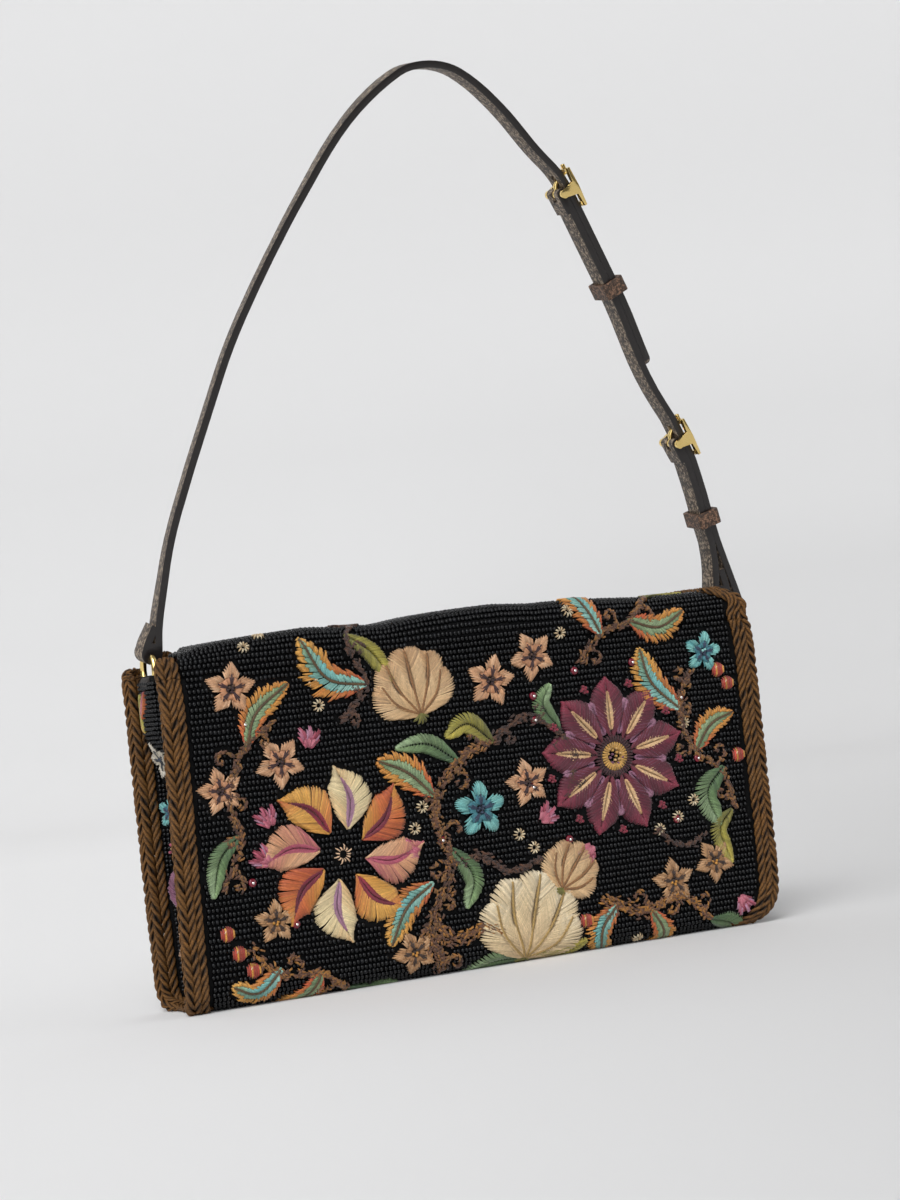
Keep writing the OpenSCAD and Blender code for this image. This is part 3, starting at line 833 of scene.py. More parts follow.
def berry(hoop, centre, size, colours):
    """A little bud of close parallel stitches, with a pale stitch across its upper left as a painted
    highlight.
    """
    c, count = np.array(centre, float), max(4, int(size * 1.2 / 0.78))
    for i in range(count):
        u = 2 * (i + 0.5) / count - 1
        half = size * 0.62 * math.sqrt(1 - (0.92 * u) ** 2)
        side = np.array([u * size * 0.56, 0])
        hoop.stitch(c + side - (0, half), c + side + (0, half), colours[i % len(colours)], 0.95, 0.15)
    # Painted highlight: a pale stitch on the bud's upper left, where the key light falls.
    hoop.stitch(c + (-0.28 * size, 0.05 * size), c + (-0.1 * size, 0.35 * size), "#E3BC98", 0.6, 0.55)


def chain_flower(hoop, centre, colours=("#D9C7A5", "#C9AE86")):
    """A tiny flower of five looped stitches."""
    for k in range(5):
        a = 0.3 + k * 2 * math.pi / 5
        c = np.array(centre, float)
        hoop.stitch(c + polar(a - 0.35, 0.8), c + polar(a - 0.28, 2.6), colours[k % 2], 0.7)
        hoop.stitch(c + polar(a + 0.35, 0.8), c + polar(a + 0.28, 2.6), colours[(k + 1) % 2], 0.7)


def lay_stitches(name, section, rows, body, out=swell, place=None, sides=6):
    """Lays stitches on a section: each rises from the cloth, runs straight and dips again."""
    a, b = rows[:, 0:2], rows[:, 2:4]
    wide, lift, dye = rows[:, 4], rows[:, 5], rows[:, 6:9]
    t = np.array([0.0, 0.2, 0.8, 1.0])
    rise = np.array([-1.15, -0.15, -0.15, -1.15])
    taper = np.array([0.55, 1.0, 1.0, 0.5])
    flat = a[:, None] + (b - a)[:, None] * t[None, :, None]
    length = np.linalg.norm(b - a, axis=1)
    height = rise[None] + lift[:, None] + np.clip(length / 12, 0, 0.5)[:, None] * np.sin(math.pi * t)
    x, s = flat[..., 0], flat[..., 1]
    y, z, ny, nz = section.at(s.ravel(), height.ravel() + out(x.ravel(), s.ravel()))
    centre = np.stack([x.ravel(), y, z], axis=1).reshape(*x.shape, 3)
    normal = np.stack([np.zeros_like(ny), ny, nz], axis=1).reshape(*x.shape, 3)
    if place is not None:
        centre, normal = place(centre, normal)
    ahead = np.gradient(centre, axis=1)
    ahead /= np.linalg.norm(ahead, axis=2, keepdims=True) + 1e-9
    side = np.cross(normal, ahead)
    side /= np.linalg.norm(side, axis=2, keepdims=True) + 1e-9
    mesh = strands(name, centre, side, normal, wide[:, None] / 2 * taper[None],
                   wide[:, None] * 0.42 * taper[None], dye, sides, twist=1.2)
    return put(name, mesh, body, stuff(embroidery_thread))


def sequins(name, section, spots, body):
    """Small wine sequins, each with a clear bead on top."""
    ring, c, s, faces = rod(2, 12)
    places = []
    for x, at in spots:
        for radius, low, high in ((1.75, -0.4, 0.15), (0.62, 0.1, 0.95)):
            shrink = np.where(ring > 0, 0.8, 1.0)
            y, z, _, _ = section.at(at + radius * s * shrink,
                                    np.where(ring > 0, high, low) + swell(x, at))
            places.append(np.stack([x + radius * c * shrink, y, z], axis=1))
    places = np.array(places)
    glint = np.repeat(np.tile([0.0, 1.0], len(spots)), len(ring))
    mesh = mesh_of_copies(name, places, faces, [("glint", "FLOAT", glint)])
    return put(name, mesh, body, stuff(sequin))


class Cover:
    """A map of where stitches cover the cloth, so that no beads lie beneath them."""

    def __init__(self, rows, step=0.4, reach=0.45):
        self.step, self.x0, self.s0 = step, -135.0, -40.0
        self.map = np.zeros((int(270 / step), int(380 / step)), bool)
        for x0, s0, x1, s1, wide, *_ in rows:
            t = np.linspace(0, 1, max(2, int(math.hypot(x1 - x0, s1 - s0) / step)))
            aside = wide / 2 + reach - 0.3
            for d in (-1, 0, 1):
                for e in (-1, 0, 1):
                    self.map[self.cells(x0 + (x1 - x0) * t + d * aside,
                                        s0 + (s1 - s0) * t + e * aside)] = True

    def cells(self, x, s):
        """The map's cells in which points lie."""
        return (np.clip(((x - self.x0) / self.step).astype(int), 0, self.map.shape[0] - 1),
                np.clip(((s - self.s0) / self.step).astype(int), 0, self.map.shape[1] - 1))

    def free(self, x, s):
        """Where no stitch lies."""
        return ~self.map[self.cells(x, s)]


TAN = ["#B98E63", "#A87B50", "#C9A27A"]
MAUVE = ["#8C5A72", "#7A4A63", "#9E6D82"]
RUST = ["#B4532C", "#C66A35", "#9C4426"]
ROSE = ["#B5566A", "#C77684", "#9E4459"]
NAVY = "#26364F"
OXBLOOD = "#3B1119"
# Small flowers: outer and inner colours, heart and eye
PEACH_FLOWER = (["#D0A078", "#C29068", "#D9AE88"], ["#C9926B", "#B57C55"], "#3A1C1C",
                ["#3A1C1C", "#4B2D1B"])
TAN_FLOWER = (TAN, ["#8C6238", "#A87B50"], "#3A2416", ["#C98C38", "#3A2416"])
BLUE_FLOWER = (["#5FA3A2", "#7FBDB6", "#4E9497"], ["#2F6A78", "#3F7F88"], NAVY, [NAVY])
# Large blooms: edge, fill, heart and dark of the round one, and the others' petals and veins
WINE_BLOOM = (["#6A1F30", "#57172A", "#8A2A40"], ["#CDA173", "#DDB88A", "#B98E63"],
              ["#C99A4E", "#7A4A63", "#D9B070"], OXBLOOD)
SUN_PETALS = [["#C98C38", "#C66A35", "#A8482C"], ["#D9B27E", "#E2CFA0", "#CDB78F"],
              ["#C98C38", "#D9A34D", "#C66A35"], ["#D9A982", "#C9926B", "#B9606A"]]
SUN_STRIPES = [["#7A1F33", "#6A1F30"], ["#A87F96", "#9E6D82"], ["#8E2438", "#6A1F30"],
               ["#B5566A", "#9E4459"]]
IVORY_CUP = (["#CDB087", "#DCC49A", "#E8D8B8"], "#A8894E")
TAN_CUP = (["#C9A272", "#D6B488", "#B98E63"], "#8C6238")


def ray_bloom(hoop, centre, radius, turn, petals, bodies, stripes, bend=0.3):
    """A large bloom of curved, pointed petals with a stripe each, about a bare beaded eye."""
    c = np.array(centre, float)
    for k in range(petals):
        a = turn + 2 * math.pi * k / petals
        points = [c + polar(a, radius * 0.3), c + polar(a + bend * 0.25, radius * 0.66),
                  c + polar(a + bend, radius)]
        body = bodies[k % len(bodies)]
        fishbone(hoop, points, radius * 0.52, body, body[::-1], None, 0.62, 0.08, 0.6, pitch=0.5,
                 round_off=1.2)
        stripe = stripes[k % len(stripes)]
        path, _ = smooth_path(points, 30)
        fishbone(hoop, [path[1], path[12], path[23]], radius * 0.15, stripe, stripe, None, 0.8, 0.05,
                 1.2)
    for k in range(13):
        a = k * 2 * math.pi / 13
        hoop.stitch(c + polar(a, radius * 0.045), c + polar(a, radius * (0.12 if k % 2 else 0.09)),
                    "#E3BC98", 0.6, 0.5)


def round_bloom(hoop, centre, radius, turn, petals, edge, fill, heart, dark):
    """A large round bloom: wide petals with an edging, a filled middle and a latticed heart."""
    c = np.array(centre, float)
    for k in range(petals):
        a = turn + 2 * math.pi * (k + 0.5) / petals
        fishbone(hoop, [c + polar(a, radius * 0.3), c + polar(a, radius * 0.72)], radius * 0.22,
                 MAUVE, MAUVE, None, 0.8, 0.1, 0.7)
    for k in range(petals):
        a = turn + 2 * math.pi * k / petals
        fishbone(hoop, [c + polar(a, radius * 0.24), c + polar(a, radius * 0.97)],
                 radius * 0.46, edge, edge, None, 0.72, 0.08, 0.7, pitch=0.55, round_off=1.05)
        fishbone(hoop, [c + polar(a, radius * 0.34), c + polar(a, radius * 0.8)],
                 radius * 0.19, fill, fill, None, 0.8, 0.05, 0.8)
    for ring_r, number, colour in ((0.21, 40, dark), (0.13, 30, heart[0])):
        for k in range(number):
            a = k * 2 * math.pi / number
            hoop.stitch(c + polar(a, radius * (ring_r - 0.05)),
                        c + polar(a, radius * (ring_r + 0.06)), colour, 0.9, 0.3)
    knots(hoop, c, radius * 0.12, 16, heart, 1.0)


def cup_bloom(hoop, centre, size, turn, colours, vein):
    """A pale half-open bloom seen from its side: layers of broad petals."""
    c = np.array(centre, float)
    for offset, length, width in ((-0.95, 0.8, 0.5), (0.95, 0.8, 0.5), (-0.5, 0.98, 0.56),
                                  (0.5, 0.98, 0.56), (0.0, 1.05, 0.62)):
        a = turn + offset
        line = [c, c + polar(a, size * length * 0.55), c + polar(a - offset * 0.25, size * length)]
        fishbone(hoop, line, size * width, colours, colours, vein, 0.9, 0.12, 1.0)
    for offset in (-1.3, -0.6, 0.0, 0.6, 1.3):
        a = turn + math.pi + offset * 0.5
        hoop.stitch(c + polar(a, -1), c + polar(a + offset * 0.3, size * 0.16), "#6E6A2C", 1.1, 0.3)


SEQUINS = [(60 + 39 * math.cos(a), 90 + 39 * math.sin(a)) for a in
           (0.55, 1.25, 1.95, 2.65, 3.35, 4.05, 5.45, 6.15)] + [(-97, 120), (-20, 66), (26, 118),
                                                              (-100, 60), (-84, 42)]
WOOD = ["#4B2D1B", "#5A3721", "#6B442A", "#7C5527", "#8C5C24"]
DARK_WOOD = ["#33201A", "#43291E", "#5A3721", "#4B2D1B"]
OCHRE_WOOD = ["#6B442A", "#8A5A22", "#A06A22", "#5A3721"]
LEAVES = {
    "teal": (["#9FC7B8", "#6FA59C", "#7F9468"], ["#8CB8A4", "#6FB3B0", "#92A57B"],
             ["#B4532C", "#C98C38", "#D9A34D"]),
    "rust": (["#7F9468", "#92A57B", "#6B8057"], ["#6B8057", "#8FA67C", "#7F9468"],
             ["#C1502C", "#C98C38", "#D08A3C"]),
    "green": (["#3F5A3A", "#5F7A4C", "#86A06E"], ["#4E6B44", "#6B8057", "#9DB58A"], None),
    "gold": (["#7A7430", "#9A9038", "#B9A845"], ["#64632A", "#8C8436", "#A59A45"], None),
}


def leafy(hoop, points, width, kind):
    """A leaf of one of the listed kinds, toothed where it has an edge colour."""
    left, right, edge = LEAVES[kind]
    fishbone(hoop, points, width, left, right, "#5A4426" if edge else None, edge=edge,
             teeth=7 if edge else 0, jag=0.1)


def near_plan(h):
    """The back panel's embroidery. Lengths count from the middle of the base."""
    tendril(h, [(-112, 58), (-103, 76), (-106, 94), (-97, 112), (-84, 120)], WOOD, 3.4)
    tendril(h, [(-24, 12), (-27, 34), (-17, 56), (-22, 78), (-10, 96), (6, 102)], WOOD, 5.2)
    tendril(h, [(6, 102), (20, 110), (34, 104), (42, 92), (36, 76)], DARK_WOOD, 3.4)
    tendril(h, [(100, 122), (92, 106), (98, 88), (110, 78), (114, 62)], WOOD, 3.4)
    tendril(h, [(-58, 116), (-46, 130), (-52, 148), (-42, 162)], DARK_WOOD, 3.0)
    tendril(h, [(48, 34), (66, 26), (84, 30), (98, 18)], OCHRE_WOOD, 4.6)
    tendril(h, [(-104, 36), (-92, 24), (-76, 22), (-64, 12)], OCHRE_WOOD, 3.8)
    tendril(h, [(48, 128), (58, 140), (72, 144), (84, 156)], WOOD, 3.2)
    moss(h, [(-27, 34), (-18, 26), (-6, 30), (4, 26)], OCHRE_WOOD, 5.0)
    moss(h, [(-17, 56), (-4, 58), (8, 50), (24, 54)], DARK_WOOD, 3.4)
    moss(h, [(76, 58), (88, 50), (100, 54)], DARK_WOOD, 2.6)
    ray_bloom(h, (-62, 66), 34, 0.5, 8, SUN_PETALS, SUN_STRIPES)
    round_bloom(h, (60, 90), 33, 0.2, 9, *WINE_BLOOM)
    cup_bloom(h, (12, 14), 33, 1.3, *IVORY_CUP)
    cup_bloom(h, (-24, 116), 25, 1.75, *TAN_CUP)
    cup_bloom(h, (30, 40), 19, 0.9, *TAN_CUP)
    for x, s, size, turn in ((-101, 134, 20, 0.2), (-84, 104, 20, 0.9), (-109, 96, 18, 0.5),
                             (8, 126, 21, 0.1), (27, 134, 20, 0.8), (20, 84, 19, 0.5)):
        small_flower(h, (x, s), size, turn, *PEACH_FLOWER)
    for x, s, size, turn in ((82, 36, 19, 0.4), (102, 42, 18, 0.9), (-92, 44, 17, 0.3),
                             (-36, 24, 18, 0.7)):
        small_flower(h, (x, s), size, turn, *TAN_FLOWER)
    small_flower(h, (-2, 76), 21, 0.3, *BLUE_FLOWER, point=0.8)
    small_flower(h, (106, 128), 16, 0.1, *BLUE_FLOWER[:3], [NAVY, "#8CC6C0"], point=0.8)
    for points, width, kind in (
            ([(-26, 50), (-38, 42), (-46, 28)], 13, "teal"),
            ([(-22, 84), (-32, 94), (-44, 100)], 14, "rust"),
            ([(-16, 62), (-8, 50), (-12, 38)], 9, "green"),
            ([(6, 102), (-4, 110), (-14, 106)], 9, "gold"),
            ([(36, 104), (30, 114), (34, 122)], 8, "green"),
            ([(92, 106), (80, 118), (76, 132)], 15, "teal"),
            ([(98, 88), (106, 98), (117, 102)], 11, "rust"),
            ([(110, 80), (102, 70), (106, 56)], 11, "green"),
            ([(-104, 78), (-112, 70), (-116, 56)], 8, "green"),
            ([(-97, 112), (-92, 124), (-78, 134)], 12, "rust"),
            ([(-46, 130), (-62, 134), (-72, 150)], 15, "teal"),
            ([(-52, 150), (-42, 142), (-34, 130)], 8, "gold"),
            ([(58, 140), (52, 154), (56, 170)], 14, "teal"),
            ([(72, 144), (86, 140), (98, 146)], 13, "rust"),
            ([(84, 156), (92, 164), (104, 160)], 9, "gold"),
            ([(-92, 26), (-102, 18), (-112, 22)], 11, "teal"),
            ([(-76, 22), (-82, 12), (-94, 4)], 13, "rust"),
            ([(-64, 12), (-54, 8), (-42, 10)], 9, "green"),
            ([(54, 30), (46, 20), (50, 6)], 12, "teal"),
            ([(70, 26), (76, 14), (72, 2)], 11, "rust"),
            ([(98, 18), (108, 14), (115, 4)], 10, "green"),
            ([(12, 14), (-2, 14), (-14, 6)], 9, "green"),
            ([(12, 14), (28, 12), (40, 18)], 9, "gold"),
            ([(-10, 96), (-22, 104), (-36, 104)], 8, "green"),
            ([(112, 62), (106, 54), (110, 40)], 8, "gold")):
        leafy(h, points, width, kind)
    for x, s, a in ((-92, 66, 2.4), (-90, 80, 2.0), (24, 68, 0.6), (112, 26, 5.2), (-72, 108, 1.4),
                    (46, 56, 4.0), (-30, 62, 2.8)):
        for turn in (-0.5, 0.0, 0.5):
            petal(h, (x, s), a + turn, 0.5, 9.5, 4.4, ROSE, ["#7A1F33", "#B5566A", "#A87F96"],
                  point=1.0)
    for x, s in ((-112, 42), (-108, 34), (-103, 27), (116, 114), (112, 120), (118, 84), (40, 26)):
        berry(h, (x, s), 5.0, ["#9C3A26", "#B23A2A", "#C98C38", "#9C3A26"])
    for x, s in ((-31, 72), (-27, 80), (14, 64), (20, 58), (78, 58), (87, 62), (95, 68), (94, 100),
                 (-66, 124), (-68, 134), (40, 142), (45, 150), (-94, 150), (-86, 156), (64, 14)):
        chain_flower(h, (x, s))
    for k in range(9):
        knots(h, np.array((60, 90)) + polar(0.2 + 2 * math.pi * (k + 0.5) / 9, 30), 1.6, 7,
              ["#7C1F33", "#8E2438"])


def far_plan(h):
    """The flap's embroidery, in another arrangement."""
    tendril(h, [(-98, 276), (-86, 258), (-90, 238), (-76, 224), (-62, 230)], WOOD, 3.6)
    tendril(h, [(-10, 188), (-17, 206), (-4, 222), (-12, 240), (4, 258)], WOOD, 4.6)
    tendril(h, [(94, 204), (80, 214), (84, 232), (72, 248), (82, 264)], OCHRE_WOOD, 3.6)
    round_bloom(h, (-52, 214), 31, 0.1, 9, *WINE_BLOOM)
    ray_bloom(h, (42, 240), 33, 0.2, 8, SUN_PETALS[:2], SUN_STRIPES[:2])
    cup_bloom(h, (-34, 285), 24, -1.5, *IVORY_CUP)
    for x, s, size, turn in ((-94, 208, 20, 0.2), (-80, 286, 19, 0.9), (16, 196, 20, 0.5),
                             (92, 280, 18, 0.1), (68, 194, 19, 0.8), (10, 284, 18, 0.3)):
        small_flower(h, (x, s), size, turn, *PEACH_FLOWER)
    small_flower(h, (-4, 268), 19, 0.3, *BLUE_FLOWER, point=0.8)
    small_flower(h, (97, 240), 18, 0.6, *TAN_FLOWER)
    for points, width, kind in (
            ([(-86, 258), (-98, 250), (-104, 236)], 13, "teal"),
            ([(-90, 238), (-98, 230), (-104, 222)], 9, "green"),
            ([(-62, 230), (-52, 246), (-56, 264)], 14, "rust"),
            ([(-16, 206), (-6, 196), (-4, 182)], 12, "teal"),
            ([(-4, 222), (-18, 230), (-30, 244)], 13, "rust"),
            ([(-12, 240), (0, 246), (8, 238)], 9, "green"),
            ([(4, 258), (14, 268), (28, 272)], 13, "teal"),
            ([(80, 214), (92, 222), (104, 216)], 11, "rust"),
            ([(74, 250), (64, 266), (66, 282)], 12, "teal"),
            ([(82, 264), (96, 258), (104, 264)], 9, "gold"),
            ([(-36, 286), (-50, 285), (-64, 277)], 9, "green"),
            ([(36, 194), (46, 200), (54, 206)], 11, "rust")):
        leafy(h, points, width, kind)
    for x, s in ((-70, 252), (-66, 260), (20, 214), (26, 222), (52, 288), (46, 282), (-24, 262)):
        chain_flower(h, (x, s))


def side_plan(h):
    """An end panel's embroidery, on x across and s up."""
    small_flower(h, (6, 96), 15, 0.2, ["#DDD3C0", "#CFC4B0", "#EDE6D8"], ["#CFC4B0", "#B9B09E"],
                 "#26303A", ["#1F2730", "#26364F"])
    small_flower(h, (4, 24), 15, 0.8, ["#DDB08C", "#D0A078"], ["#C9926B", "#B57C55"], "#3A1C1C",
                 ["#4B2D1B"])
    small_flower(h, (7, 76), 13, 0.5, ["#5FA3A2", "#7FBDB6"], ["#2F6A78", "#3F7F88"], NAVY, [NAVY],
                 point=0.8)
    fishbone(h, [(4, 108), (8, 114), (6, 122)], 6, ["#A59A45", "#8C8436"], ["#C9A24D", "#8C8436"])
    fishbone(h, [(9, 112), (4, 116), (0, 123)], 4, RUST, ROSE, None)
    fishbone(h, [(6, 38), (9, 46), (6, 55)], 8, ROSE, MAUVE, None)
    knots(h, (7, 62), 3.0, 8, TAN + ROSE)
    moss(h, [(-2, 10), (4, 34), (2, 50), (7, 66), (3, 86)], DARK_WOOD, 1.8)


# The stage


PAPER_FROM, PAPER_TO = -100, 3300     # millimetres along the paper, away from the camera and up
# Painted light fall-off: shade factors that scale the paper's colour along it, darkest near the foot
# of the backdrop, and towards its right, where the light dims.
PAINTED_SHADE_ALONG = ((-100, 1), (526, 0.96), (1010, 0.938), (1500, 0.86), (1891, 0.75), (2169, 0.707),
               (2520, 0.69), (2880, 0.752), (3175, 0.792))
PAINTED_SHADE_RIGHT = ((400, 0.79), (1300, 0.86), (1891, 0.895), (2169, 0.905), (2321, 0.95), (2700, 1))
PAPER_BEND, PAPER_R = 1500, 700       # where the paper starts to curve up, and its radius
CAMERA_PLACE = (-0.44366, -0.96004, 0.12074)
CAMERA_TURN = (24.96, -1.40, -6.295)  # degrees to the right, upwards and rolled
CAMERA_LENS = 78.9
# Each sun: its direction, the angle it fills and its share of the key light
SUNS = (("key", (0.55, 0.75, -1.0), 26, 1), ("fill", (-0.9, 0.6, -0.5), 60, 0.22))
# Each broad light: where it is, the cosines of its outer and inner edge, and its strength
WINDOWS = (((-0.6, -0.65, 0.45), 0.72, 0.95, 2.5), ((0.9, -0.35, 0.25), 0.86, 0.97, 0.6),
           ((0.0, 0.35, 0.94), 0.3, 0.95, 0.25))
SEEN_SKY = 0.78                       # the surrounding light's strength where the camera sees it


def studio_paper(floor):
    """Pale matt paper with painted light fall-off: painted shade darkens it along its length and a
    little to the right.
    """
    material, tree = new_material("Pale studio paper")
    across, along = (add(tree, "ShaderNodeVectorMath", {"operation": "DOT_PRODUCT"}, {
        0: per_mm(tree, 1.0), 1: toward}).outputs["Value"]
        for toward in ((0.907, -0.422, 0), (0.422, 0.907, 1)))
    along = add(tree, "ShaderNodeMapRange", None, {
        "Value": along, "From Min": PAPER_FROM, "From Max": PAPER_TO}).outputs["Result"]
    # Painted shade: the fall-off along the paper, and the share of it kept at the right.
    tone, right = (ramp(tree, along, [
        ((q - PAPER_FROM) / (PAPER_TO - PAPER_FROM), (v, v, v)) for q, v in painted_shades])
        for painted_shades in (PAINTED_SHADE_ALONG, PAINTED_SHADE_RIGHT))
    side = add(tree, "ShaderNodeMapRange", {"interpolation_type": "SMOOTHSTEP"}, {
        "Value": across, "From Min": -150.0, "From Max": 300.0, "To Min": 1.0,
        "To Max": right}).outputs["Result"]
    shade = add(tree, "ShaderNodeMath", {"operation": "MULTIPLY"}, {0: tone, 1: side}).outputs[0]
    colour = add(tree, "ShaderNodeVectorMath", {"operation": "SCALE"}, {
        0: tuple(floor), "Scale": shade}).outputs[0]
    close(tree, {"Base Color": colour, "Roughness": 0.9, "Specular IOR Level": 0.1})
    return material


def paper_sheet():
    """The paper lies flat under the bag and curves up far behind it."""
    bend = Section([(-3500, 0, 90), (PAPER_BEND, 0, 90)]
                   + [(y, z, 90 + a) for y, z, a in
                      [(PAPER_BEND + PAPER_R * math.sin(t), PAPER_R - PAPER_R * math.cos(t), t)
                       for t in np.linspace(0.08, math.pi / 2, 24)]] + [(2200, 3500, 180)])

    def paper(u, v):
        y, z, _, _ = bend.at(v * bend.length)
        return (2 * u - 1) * 4500, float(y), float(z)
    mesh = grid_over("floor", 4, 240, paper)
    mesh.transform(Matrix.Rotation(math.radians(-CAMERA_TURN[0]), 4, "Z"))
    return mesh


def surroundings(settings):
    """The light from all sides, with broad lights like windows in it."""
    world = bpy.data.worlds.new("Studio")
    world.use_nodes = True
    sky = world.node_tree
    sky.nodes.clear()
    way = add(sky, "ShaderNodeTexCoord").outputs["Generated"]
    light = settings.sky_power
    for toward, outer, inner, power in WINDOWS:
        facing = add(sky, "ShaderNodeVectorMath", {"operation": "DOT_PRODUCT"}, {
            0: way, 1: tuple(Vector(toward).normalized())}).outputs["Value"]
        lobe = add(sky, "ShaderNodeMapRange", {"interpolation_type": "SMOOTHSTEP"}, {
            "Value": facing, "From Min": outer, "From Max": inner,
            "To Max": power * settings.window_power}).outputs["Result"]
        light = add(sky, "ShaderNodeMath", {"operation": "ADD"}, {0: lobe, 1: light}).outputs[0]
    seen = add(sky, "ShaderNodeLightPath").outputs["Is Camera Ray"]
    strength = add(sky, "ShaderNodeMix", None, {0: seen, 2: light, 3: SEEN_SKY}).outputs[0]
    back = add(sky, "ShaderNodeBackground", None, {
        "Color": (*settings.sky, 1), "Strength": strength})
    add(sky, "ShaderNodeOutputWorld", None, {"Surface": back.outputs["Background"]})
    return world


def add_camera(scene):
    """The camera stands where the photograph's outline puts it."""
    yaw, pitch, roll = (math.radians(a) for a in CAMERA_TURN)
    ahead = Vector((math.sin(yaw) * math.cos(pitch), math.cos(yaw) * math.cos(pitch),
                    -math.sin(pitch)))
    right = ahead.cross(Vector((0, 0, 1))).normalized()
    up = right.cross(ahead)
    turned_right = right * math.cos(roll) + up * math.sin(roll)
    turned_up = up * math.cos(roll) - right * math.sin(roll)
    camera = bpy.data.cameras.new("camera")
    camera.lens, camera.sensor_width = CAMERA_LENS, 36.0
    camera.clip_start, camera.clip_end = 0.05, 50
    obj = bpy.data.objects.new("camera", camera)
    turn = Matrix((turned_right, turned_up, -ahead)).transposed().to_4x4()
    obj.matrix_world = Matrix.Translation(CAMERA_PLACE) @ turn
    scene.collection.objects.link(obj)
    scene.camera = obj


class BAG_OT_stage(bpy.types.Operator):
    """Adds the floor, backdrop, lights and camera"""

    bl_idname = "bag.stage"
    bl_label = "Stage"

    def execute(self, context):
        scene, settings = context.scene, context.scene.bag_stage
        floor = bpy.data.objects.new("floor", paper_sheet())
        floor.data.materials.append(studio_paper(settings.floor))
        scene.collection.objects.link(floor)
        for name, toward, angle, share in SUNS:
            lamp = bpy.data.lights.new(name, "SUN")
            lamp.energy, lamp.angle = settings.key_power * share, math.radians(angle)
            obj = bpy.data.objects.new(name, lamp)
            obj.rotation_euler = Vector(toward).to_track_quat("-Z", "Y").to_euler()
            scene.collection.objects.link(obj)
        scene.world = surroundings(settings)
        scene.view_settings.view_transform = "Standard"
        add_camera(scene)
        return {"FINISHED"}


# The cloths, their beads and the embroidery on them


HOOPS = {}


def hoops():
    """The stitches of all three plans, drawn once."""
    if not HOOPS:
        for name, plan, seed in (("near", near_plan, 5), ("far", far_plan, 9),
                                 ("side", side_plan, 3)):
            HOOPS[name] = Hoop(seed)
            plan(HOOPS[name])
            HOOPS[name] = HOOPS[name].array()
    return HOOPS


def tucked(x, s):
    """The back panel's swell, with its edge dipped under the flap's top."""
    return swell(x, s) - 0.75 * np.clip((s - NEAR_SPLIT + 3) / 2, 0, 1)


def hooked(x, s):
    """The swell of the flap's top, with its edge dipped under the flap's front."""
    return swell(x, s) - 0.65 * np.clip((s - FAR_SPLIT + 3) / 2, 0, 1)


class BAG_OT_cloth(bpy.types.Operator):
    """Adds the backing cloths of the panels and of the flap"""

    bl_idname = "bag.cloth"
    bl_label = "Backing cloths"

    def execute(self, context):
        black = stuff(backing_cloth)

        def inside(s, side):
            return outer_edge(s, side) - TRIM_W + UNDER_TRIM
        sizes = context.scene.bag_cloth
        wall, flap_wall = mm(sizes.wall), mm(sizes.flap_wall)
        near = cloth("back_cloth", OVER, 0, NEAR_SPLIT + 1.5, inside, BACKING, "bag",
                     black, wall, ("outer_shell",), tucked)
        front = cloth("front_cloth", UNDER, 0, UNDER.length,
                      lambda s, side: half_width(UNDER.at(s)[1], side) - TRIM_W + UNDER_TRIM,
                      BACKING, "bag", black, wall)
        top = cloth("flap_top_cloth", OVER, NEAR_SPLIT - 1, FAR_SPLIT + 1, inside, BACKING,
                    "flap_top", black, flap_wall, ("flap_top_cover",), hooked)
        flap = cloth("flap_front_cloth", OVER, FAR_SPLIT - 0.5, OVER.length - 4, inside, BACKING,
                     "flap_front", black, flap_wall, ("flap_front_cover",), swell)
        return {"FINISHED"}


class BAG_OT_lining(bpy.types.Operator):
    """Adds the satin lining of the bag and of the flap"""

    bl_idname = "bag.lining"
    bl_label = "Satin lining"

    def execute(self, context):
        wine = stuff(satin)
        wall = mm(context.scene.bag_cloth.satin_wall)

        def pucker(x, s):
            return -0.35 + 0.35 * math.sin(x / 5.1 + s / 9) * math.sin(s / 14)

        def panel(x, s):
            return pucker(x, s) + swell(x, s - UNDER.length)

        def with_angle(section, s, full=False):
            """A section's point with its outward angle, counted from 0 to 360 if full."""
            y, z, ny, nz = section.at(s)
            angle = math.degrees(math.atan2(nz, ny))
            return y, z, angle % 360 if full else angle
        # Down the front panel and up the back panel
        whole = Section([with_angle(UNDER, s) for s in np.linspace(UNDER.length - 1, 0, 90)]
                        + [with_angle(OVER, s, True) for s in np.linspace(1, 136, 90)])
        whole.a = np.unwrap(whole.a)
        bag = cloth("bag_lining", whole, 0, whole.length, lambda s, side: 118.2, 3.3, "bag",
                    wine, wall, ("lining",), panel)
        for name, s0, s1, body, node in (
                ("flap_top_satin", NEAR_SPLIT, FAR_SPLIT, "flap_top", "flap_top_lining"),
                ("flap_front_satin", FAR_SPLIT, OVER.length - 4, "flap_front", "flap_front_lining")):
            obj = cloth(name, OVER, s0, s1, lambda s, side: outer_edge(s, side) - TRIM_W + 3, 2.3,
                        body, wine, wall, (node,), hooked if body == "flap_top" else swell)
        return {"FINISHED"}


def top_narrow(s, side):
    """The share of its width by which the braid draws back from its inner edge over the top:
    a little on the right, most on the left, where the beads take its place beyond its end."""
    s = np.asarray(s, float)
    if side > 0:
        return 0.18 * on_top(s, 9)
    return 0.8 * np.clip((s - LEFT_END + 2) / 4, 0, 1) * np.clip((FAR_SPLIT - s) / 9, 0, 1)


